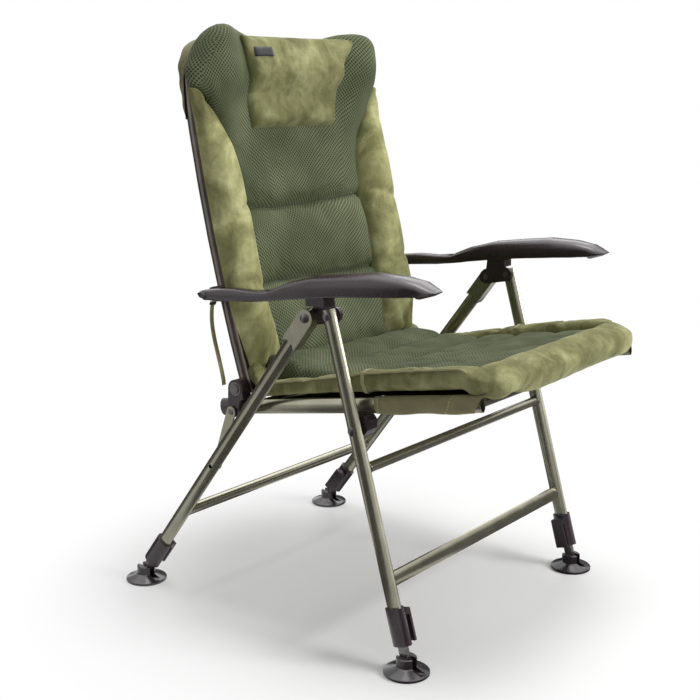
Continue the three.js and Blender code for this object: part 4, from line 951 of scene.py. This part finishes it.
# Cloth in single layers: rail sleeves, slings and the hood over the back's top
def cloth_sheet(name, spot, rows, columns, material, body):
    """A single layer of cloth from a grid of spots; its flat size is worked out but not used."""
    grid = np.array([[spot(a, b) for b in columns] for a in rows])
    n, m = grid.shape[:2]
    points = grid.reshape(-1, 3)
    along, across = run_along(grid[:, m // 2]), run_along(grid[n // 2])
    uv = [(across[k], along[i]) for i in range(n) for k in range(m)]
    faces = quads(n, m)
    obj = make(name, points, faces, material, uv, body)
    a, b, c, d = (points[np.array(faces)[:, k]] for k in range(4))
    area = float(0.5 * np.linalg.norm(np.cross(c - a, d - b), axis=1).sum())
    width, length = float(across[-1]), float(along[-1])
    if area > width * length:
        length = area / width
    return obj


SLEEVE_REAR, SLEEVE_FRONTS, SLEEVE_COLUMNS = 0.032, {1: 0.224, -1: 0.254}, 32
SEAT_SLING_HALF, SEAT_SLING_REAR, SEAT_SLING_FRONT = 0.2535, -0.247, 0.221
BACK_SLING_HALF, BACK_SLING_LOW, BACK_SLING_TOP = 0.2315, 0.024, 0.567
HOOD_TOP, HOOD_CORNER, HOOD_DEEP, HOOD_HALF, HOOD_COLUMNS = 0.6455, 0.064, 0.0165, 0.2535, 120


def sleeve_spot(side):
    """Cloth sewn round a seat rail; its front end is cut on the slant and stands off."""

    def spot(share, k):
        turn = math.pi * 0.55 + 2 * math.pi * k / SLEEVE_COLUMNS
        low = (1 - math.sin(turn)) / 2
        fore = SLEEVE_REAR + (SLEEVE_FRONTS[side] - 0.03 * low - SLEEVE_REAR) * share
        flare = smooth(fore, 0.19, 0.262)
        seam = bell(fore, 0.171, 0.003)
        a, b = superellipse(turn, 0.0094 + 0.0018 * flare - 0.0006 * seam, 0.0155 - 0.0007 * seam, 2.8)
        hang = 0.0012 * low * math.sin(fore * 60)
        wrinkle = 0.0005 * math.sin(fore * 190 + k * 0.9)
        return on_seat(side * (RAIL_X + a + wrinkle), fore, b + hang)

    return spot


def seat_sling_spot(fore, x):
    sag = -0.01 * (1 - (x / SEAT_SLING_HALF) ** 2)
    return on_seat(x, fore, 0.004 + sag + 0.0012 * math.sin(x * 40) * math.sin(fore * 33))


def back_sling_spot(up, x):
    bow = -PAD_BOW * (1 - (x / BACK_X) ** 2) * (1 - 0.5 * smooth(up, 0.46, BACK_SLING_TOP))
    slack = (math.sin(up * 105 + x * 30) - 1) * smooth(up, 0.03, 0.08)
    pull = 0.0014 * (x / BACK_SLING_HALF) ** 2 * slack
    return on_back(x, up, bow - 0.0006 + pull + 0.001 * math.sin(x * 45) * math.sin(up * 37))


def hood_spot(k, t):
    """The pocket of cloth that is pulled down over the top of the back tube."""
    flat, face = superellipse(2 * math.pi * k / HOOD_COLUMNS, 1, 1, 9)
    hem = 0.5 + 0.075 * smooth(face, -0.75, 0.1) + 0.03 * smooth(face, 0.1, 0.9)
    up = hem + (HOOD_TOP - hem) * (1 - (1 - t) ** 1.8)
    rise = np.clip((up - (HOOD_TOP - HOOD_CORNER)) / HOOD_CORNER, 0, 1)
    over = np.clip((up - (HOOD_TOP - HOOD_DEEP)) / HOOD_DEEP, 0, 1)
    x = (HOOD_HALF - HOOD_CORNER * (1 - math.sqrt(1 - rise**2))) * flat
    side = abs(x) / HOOD_HALF
    bow = 0.017 * (1 - side**2) * (1 - smooth(up, 0.57, 0.632)) * max(0, -face)
    fold = 0.0008 * math.sin(x * 70 + up * 40) + 0.0013 * side**3 * math.sin(up * 170 + x * 60)
    return on_back(x, up, HOOD_DEEP * face * math.sqrt(1 - over**2) - bow + fold)


rows, columns = np.linspace(0, 1, 42), range(SLEEVE_COLUMNS + 1)
for word, side in SIDES:
    spot, rail = sleeve_spot(side), f"seat_rail_{word}"
    cloth_sheet(f"rail_sleeve_{word}", spot, rows, columns, SLEEVE, "seat")
rows = np.linspace(SEAT_SLING_REAR, SEAT_SLING_FRONT, 40)
columns = np.linspace(-SEAT_SLING_HALF, SEAT_SLING_HALF, 44)
seat_sling = cloth_sheet("seat_sling_cloth", seat_sling_spot, rows, columns, NYLON, "seat")
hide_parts("seat_sling")
rows = np.linspace(BACK_SLING_LOW, BACK_SLING_TOP, 60)
columns = np.linspace(-BACK_SLING_HALF, BACK_SLING_HALF, 44)
back_sling = cloth_sheet("back_sling_cloth", back_sling_spot, rows, columns, NYLON, "backrest")
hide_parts("back_sling")
rows, columns = range(HOOD_COLUMNS + 1), np.linspace(0, 1, 46)
cloth_sheet("back_hood", hood_spot, rows, columns, HOOD, "backrest")

# Closing strap: its route, as shares of its drop behind and below the arm's pivot, and its keeper
STRAP_DROP, STRAP_WIDTH, STRAP_THICK = 0.173, 0.01, 0.0018
STRAP_X = -(BACK_X + TUBE_WIDTH / 2 + 0.0105)
STRAP_SHARES = ((0.038, 0.07), (0.085, 0.14), (0.1, 0.26), (0.093, 0.38), (0.062, 0.53))
STRAP_SHARES += ((0.018, 0.68), (-0.025, 0.83), (-0.05, 0.93), (-0.06, 1.0))


def spline(points, count):
    """A smooth line through points, by Catmull-Rom."""
    points = np.array(points, float)
    padded = np.vstack([2 * points[0] - points[1], points, 2 * points[-1] - points[-2]])
    out = []
    for t in np.linspace(0, len(points) - 1, count):
        k = min(int(t), len(points) - 2)
        f = t - k
        p0, p1, p2, p3 = padded[k : k + 4]
        bend = (2 * p0 - 5 * p1 + 4 * p2 - p3) * f**2 + (3 * p1 - p0 - 3 * p2 + p3) * f**3
        out.append(0.5 * (2 * p1 + (p2 - p0) * f + bend))
    return np.array(out)


def band(name, line, across, wide, thick, material):
    """A flat strip of tape along a line, its width along across."""
    line = np.array(line)
    rings = []
    for k, point in enumerate(line):
        way = heading(line, k)
        side = np.array(across, float)
        side = unit(side - way * side.dot(way))
        flat = np.cross(way, side)
        spots = [superellipse(turn, wide / 2, thick / 2, 4) for turn in turns(12)]
        rings.append([point + side * a + flat * b for a, b in spots])
    return loop_tube(name, rings, material)


route = [(STRAP_X, ARM_PIVOT[0] + a * STRAP_DROP, ARM_PIVOT[1] - b * STRAP_DROP) for a, b in STRAP_SHARES]
strap_line = spline(route, 32)
strap = band("closing_strap_tape", strap_line, (1, 0, 0), STRAP_WIDTH, STRAP_THICK, TAPE)
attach(strap, "backrest")
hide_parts("closing_strap")
strap_length = float(run_along(strap_line)[-1])
KEEPER_SPOT, KEEPER_HALF_WIDE, KEEPER_HALF_DEEP, KEEPER_TALL, KEEPER_THICK = 3, 0.0066, 0.0023, 0.006, 0.0015
keeper_way = heading(strap_line, KEEPER_SPOT)
keeper_out = np.cross(keeper_way, (1, 0, 0))
keeper_line = []
for t in np.linspace(0, 2 * math.pi, 29):
    a, b = superellipse(t, KEEPER_HALF_WIDE, KEEPER_HALF_DEEP, 4)
    keeper_line.append(strap_line[KEEPER_SPOT] + a * np.array((1, 0, 0)) + b * keeper_out)
keeper = band("strap_keeper", keeper_line, keeper_way, KEEPER_TALL, KEEPER_THICK, TAB)
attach(keeper, "backrest")

# Trims of the seat's border roll: piping on its crest and a loop round each side for a fold, both coloured
# lighter as a painted highlight
PIPING_SPOT, PIPING_FIRST, PIPING_RADIUS = 4, 16, 0.0019
PIPING_OUT, LOOP_OUT, LOOP_FORE, LOOP_WIDE, LOOP_THICK = 0.045, 1.07, 0.008, 0.008, 0.0014
LOOP_SPOTS = range(11, -8, -1)
roll = vertex_places(seat_roll.data).reshape(-1, ROLL_SECTIONS, 3)
roll_middle = roll.mean(1, keepdims=True)
corner_ring = next(k for k, stop in enumerate(path) if stop[2] >= math.pi / 4)
trims = []
for word, order in SIDES:
    whole, centre = roll[::order], roll_middle[::order]
    stand = whole + (whole - centre) * PIPING_OUT
    line = stand[PIPING_FIRST : corner_ring - 3, PIPING_SPOT]
    rings = []
    for k, point in enumerate(line):
        way = heading(line, k)
        side = unit(np.cross(way, (0, 0, 1)))
        radius = PIPING_RADIUS * (0.55 if k in (0, len(line) - 1) else 1)
        rings.append(round_ring(point, side, np.cross(side, way), radius, 8))
    trims.append(loop_tube(f"seat_piping_{word}", rings, PIPING_HIGHLIGHT))
    spot = int(np.argmin(np.abs(on_seat(0, LOOP_FORE, 0)[1] - centre[: corner_ring - 4, 0, 1])))
    middle = centre[spot, 0]
    tape = [middle + (whole[spot, k % ROLL_SECTIONS] - middle) * LOOP_OUT for k in LOOP_SPOTS]
    trims.append(band(f"seat_loop_{word}", tape, FORE_WAY, LOOP_WIDE, LOOP_THICK, PIPING_HIGHLIGHT))
for piece in trims:
    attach(piece, "seat")
    flatten(piece, "seat")


# Small turned pieces, each from a profile of radius and height, bottom to top
def lathe(name, centre, axis, profile, material, body):
    turn = Vector(axis).normalized().to_track_quat("Z", "Y")
    sections = 28
    points = []
    for radius, height in profile:
        for a in turns(sections):
            spot = turn @ Vector((radius * math.cos(a), radius * math.sin(a), height))
            points.append(np.array(centre) + np.array(spot))
    make(name, points, outward(points, tube_faces(len(profile), sections)), material, body=body)


STUD = ((0.0048, 0), (0.0048, 0.0008), (0.004, 0.0019), (0.0026, 0.0026), (0.0009, 0.0028))
KNUCKLE_END = ((0.0098, 0), (0.0096, 0.0085), (0.0084, 0.0106), (0.006, 0.0115))
KNUCKLE = (*((radius, -height) for radius, height in KNUCKLE_END[:0:-1]), *KNUCKLE_END)
BAR_EYE = ((0.0098, -0.0012), (0.0112, -0.0004), (0.0112, 0.0014), (0.0104, 0.0022))
BAR_EYE += ((0.0062, 0.0023), (0.006, 0.0052), (0.0052, 0.0062), (0.0018, 0.0064))
KNUCKLE_X, BAR_EYE_X = 0.2865, 0.2815
STUD_SPOT, RAIL_TAPE_SPOT = (0.047, 0.0152), (-0.296, 0)
RAIL_TAPE_REACH, RAIL_TAPE_WIDE, RAIL_TAPE_THICK = (0.0094, 0.004, 0.0158), 0.01, 0.0014
for word, side in SIDES:
    lathe(f"sleeve_stud_{word}", on_seat(side * RAIL_X, *STUD_SPOT), SEAT_UP, STUD, BOLT, "seat")
    middle = on_seat(side * RAIL_X, *RAIL_TAPE_SPOT)
    out, back, rise = RAIL_TAPE_REACH
    tape = []
    for t in np.linspace(0, 2 * math.pi, 41):
        tape.append(middle + (side * out * math.cos(t), back * math.sin(t), rise * math.sin(t)))
    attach(band(f"rail_tape_{word}", tape, FORE_WAY, RAIL_TAPE_WIDE, RAIL_TAPE_THICK, PALE), "seat")
for word, side in SIDES:
    knuckle_at = (side * KNUCKLE_X, *ARM_PIVOT)
    lathe(f"armrest_knuckle_{word}", knuckle_at, (side, 0, 0), KNUCKLE, PLASTIC, "armrests")
    bar_low, bar_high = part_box("upper_front_bar")
    eye_at = (side * BAR_EYE_X, (bar_low.y + bar_high.y) / 2, (bar_low.z + bar_high.z) / 2)
    lathe(f"bar_eye_{word}", eye_at, (-side, 0, 0), BAR_EYE, INNER, "front_legs")

# Pieces that lie on a pad's skin: seam threads in its channels, near black as painted shade of the creases,
# and the pillow's plain tab
THREAD_RADIUS, THREAD_TWIST, THREAD_SINK = 0.0011, 0.0003, 0.0002
BACK_THREAD_HALF, SEAT_THREAD_HALF, RAY_BACK, RAY_SEAT, RAY_TAB = 0.186, 0.214, 0.12, 0.15, 0.16
graph = bpy.context.evaluated_depsgraph_get()


def seam_shade_thread(name, panel, spots, above, body, kind):
    """A sewn line lying in a channel of a panel, found by rays from spots above it; its near-black colour is
    painted shade in the channel.
    """
    skin = BVHTree.FromObject(panel, graph)
    line = []
    for spot in spots:
        hit = skin.ray_cast(Vector(spot), -Vector(above))[0]
        if hit is not None:
            line.append(np.array(hit) - np.array(above) * THREAD_SINK)
    rings = []
    for k, point in enumerate(line):
        side = np.cross(heading(line, k), above)
        radius = THREAD_RADIUS + THREAD_TWIST * math.cos(k * math.pi)
        rings.append(round_ring(point, side, np.array(above), radius, 6))
    thread = loop_tube(name, rings, THREAD_SHADE)
    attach(thread, body)
    flatten(thread, kind)


for k, place in enumerate(BACK_CHANNELS):
    xs = np.linspace(-BACK_THREAD_HALF, BACK_THREAD_HALF, 125)
    spots = on_back(xs, place - back_waver(xs, k), 0.0) + RAY_BACK * np.array(back_out(place))
    seam_shade_thread(f"back_seam_{k + 1}", back_panel, spots, back_out(place), "backrest", "panel")
for k, place in enumerate(SEAT_CHANNELS):
    xs = np.linspace(-SEAT_THREAD_HALF, SEAT_THREAD_HALF, 143)
    spots = on_seat(xs, place - seat_waver(xs, k), RAY_SEAT)
    seam_shade_thread(f"seat_seam_{k + 1}", seat_panel, spots, SEAT_UP, "seat", "seat")

TAB_THICK, TAB_UPS, TAB_XS = 0.0012, np.linspace(0.601, 0.619, 5), np.linspace(-0.139, -0.092, 9)
skin = BVHTree.FromObject(pillow, graph)
tab_points = []
for up in TAB_UPS:
    for x in TAB_XS:
        start = Vector(on_back(x, up, RAY_TAB))
        way = (Vector(on_back(x, up, 0.0)) - start).normalized()
        tab_points.append(np.array(skin.ray_cast(start, way)[0] - way * TAB_THICK))
tab = make("pillow_tab", tab_points, quads(len(TAB_UPS), len(TAB_XS)), TAB, body="backrest")
thick = tab.modifiers.new("thickness", "SOLIDIFY")
thick.thickness = TAB_THICK
thick.offset = 1.0 if tab.data.polygons[0].normal.y < 0 else -1.0
flatten(tab, "pillow")

# Studio
AMBIENT = 0.23
FLOOR_HALF, FLOOR_LIFT, FADE_START, FADE_END = 60, 0.05, 0.3, 0.74


def studio_strips(n, way):
    """Upright bright strips all round, which only the glossy pieces see."""
    x, y, _ = n.split(way)
    around = n.math("COSINE", n.add(n.times(n.math("ARCTAN2", y, x), 5.0), 0.9))
    return n.ramp_up(around, 0.25, 3.0)


def floor_material():
    """White floor that keeps its shadow near the object and fades into the backdrop."""
    n = Surface("floor")
    n.finish(Base_Color=(1, 1, 1), Roughness=0.9, Specular_IOR_Level=0.1)
    ray = n.node("ShaderNodeLightPath").outputs
    seen, glossy = ray["Is Camera Ray"], ray["Is Glossy Ray"]
    lift = n.node("ShaderNodeEmission", {"Strength": n.times(seen, FLOOR_LIFT)})
    lit = n.node("ShaderNodeAddShader", {0: n.shader.outputs[0], 1: lift.outputs[0]})
    white = n.node("ShaderNodeEmission")
    far = n.node("ShaderNodeVectorMath", {0: n.coords("Object")}, operation="LENGTH")
    reach = {"From Min": FADE_START, "From Max": FADE_END, "Value": far.outputs["Value"]}
    away = n.node("ShaderNodeMapRange", reach, interpolation_type="SMOOTHSTEP")
    share = n.times(away.outputs[0], seen)
    fade = n.node("ShaderNodeMixShader", {0: share, 1: lit.outputs[0], 2: white.outputs[0]})
    # To glossy rays the floor shows bright upright strips instead, as a painted reflection.
    gleam = n.add(n.times(studio_strips(n, n.coords("Object")), 0.85), 0.1)
    mirrored = n.node("ShaderNodeEmission", {"Strength": gleam})
    last = n.node("ShaderNodeMixShader", {0: glossy, 1: fade.outputs[0], 2: mirrored.outputs[0]})
    n.feed(n.tree.nodes["Material Output"].inputs["Surface"], last.outputs[0])
    return n.material


corners = [(x * FLOOR_HALF, y * FLOOR_HALF, 0) for x, y in ((-1, -1), (1, -1), (1, 1), (-1, 1))]
floor = make("floor", corners, [(0, 1, 2, 3)], floor_material())

# Backdrop: white to the camera, dim and even as light, with strips and a bright ceiling in reflections
world = bpy.data.worlds.new("world")
scene.world = world
sky = Net(world)
background = sky.tree.nodes["Background"]
ray = sky.node("ShaderNodeLightPath").outputs
way = sky.coords("Generated")
height = sky.split(way)[2]
sides = sky.times(sky.math("MAXIMUM", studio_strips(sky, way), sky.ramp_up(height, 0.22, 3.5)), 1.5)
shine = sky.add(sides, sky.add(sky.times(sky.ramp_up(height, 0.62, 5.0), 1.8), 0.06))
level = sky.add(sky.times(ray["Is Glossy Ray"], sky.less(shine, AMBIENT)), AMBIENT)
seen = sky.times(ray["Is Camera Ray"], 1.0 - AMBIENT)
sky.feed(background.inputs["Color"], (1, 1, 1))
sky.feed(background.inputs["Strength"], sky.add(level, seen))


def softbox(name, place, target, size, power):
    data = bpy.data.lights.new(name, "AREA")
    data.shape = "SQUARE"
    data.size = size
    data.energy = power
    lamp = bpy.data.objects.new(name, data)
    scene.collection.objects.link(lamp)
    lamp.location = place
    aim(lamp, target)


softbox("overhead", (0.1, -0.1, 3.0), (0, 0, 0.2), size=1.2, power=34)
softbox("front", (0.75, -3.2, 1.9), (0, 0, 0.5), size=1.4, power=88)
softbox("right_back", (2.4, 1.2, 2.2), (0, 0, 0.5), size=1.6, power=14)
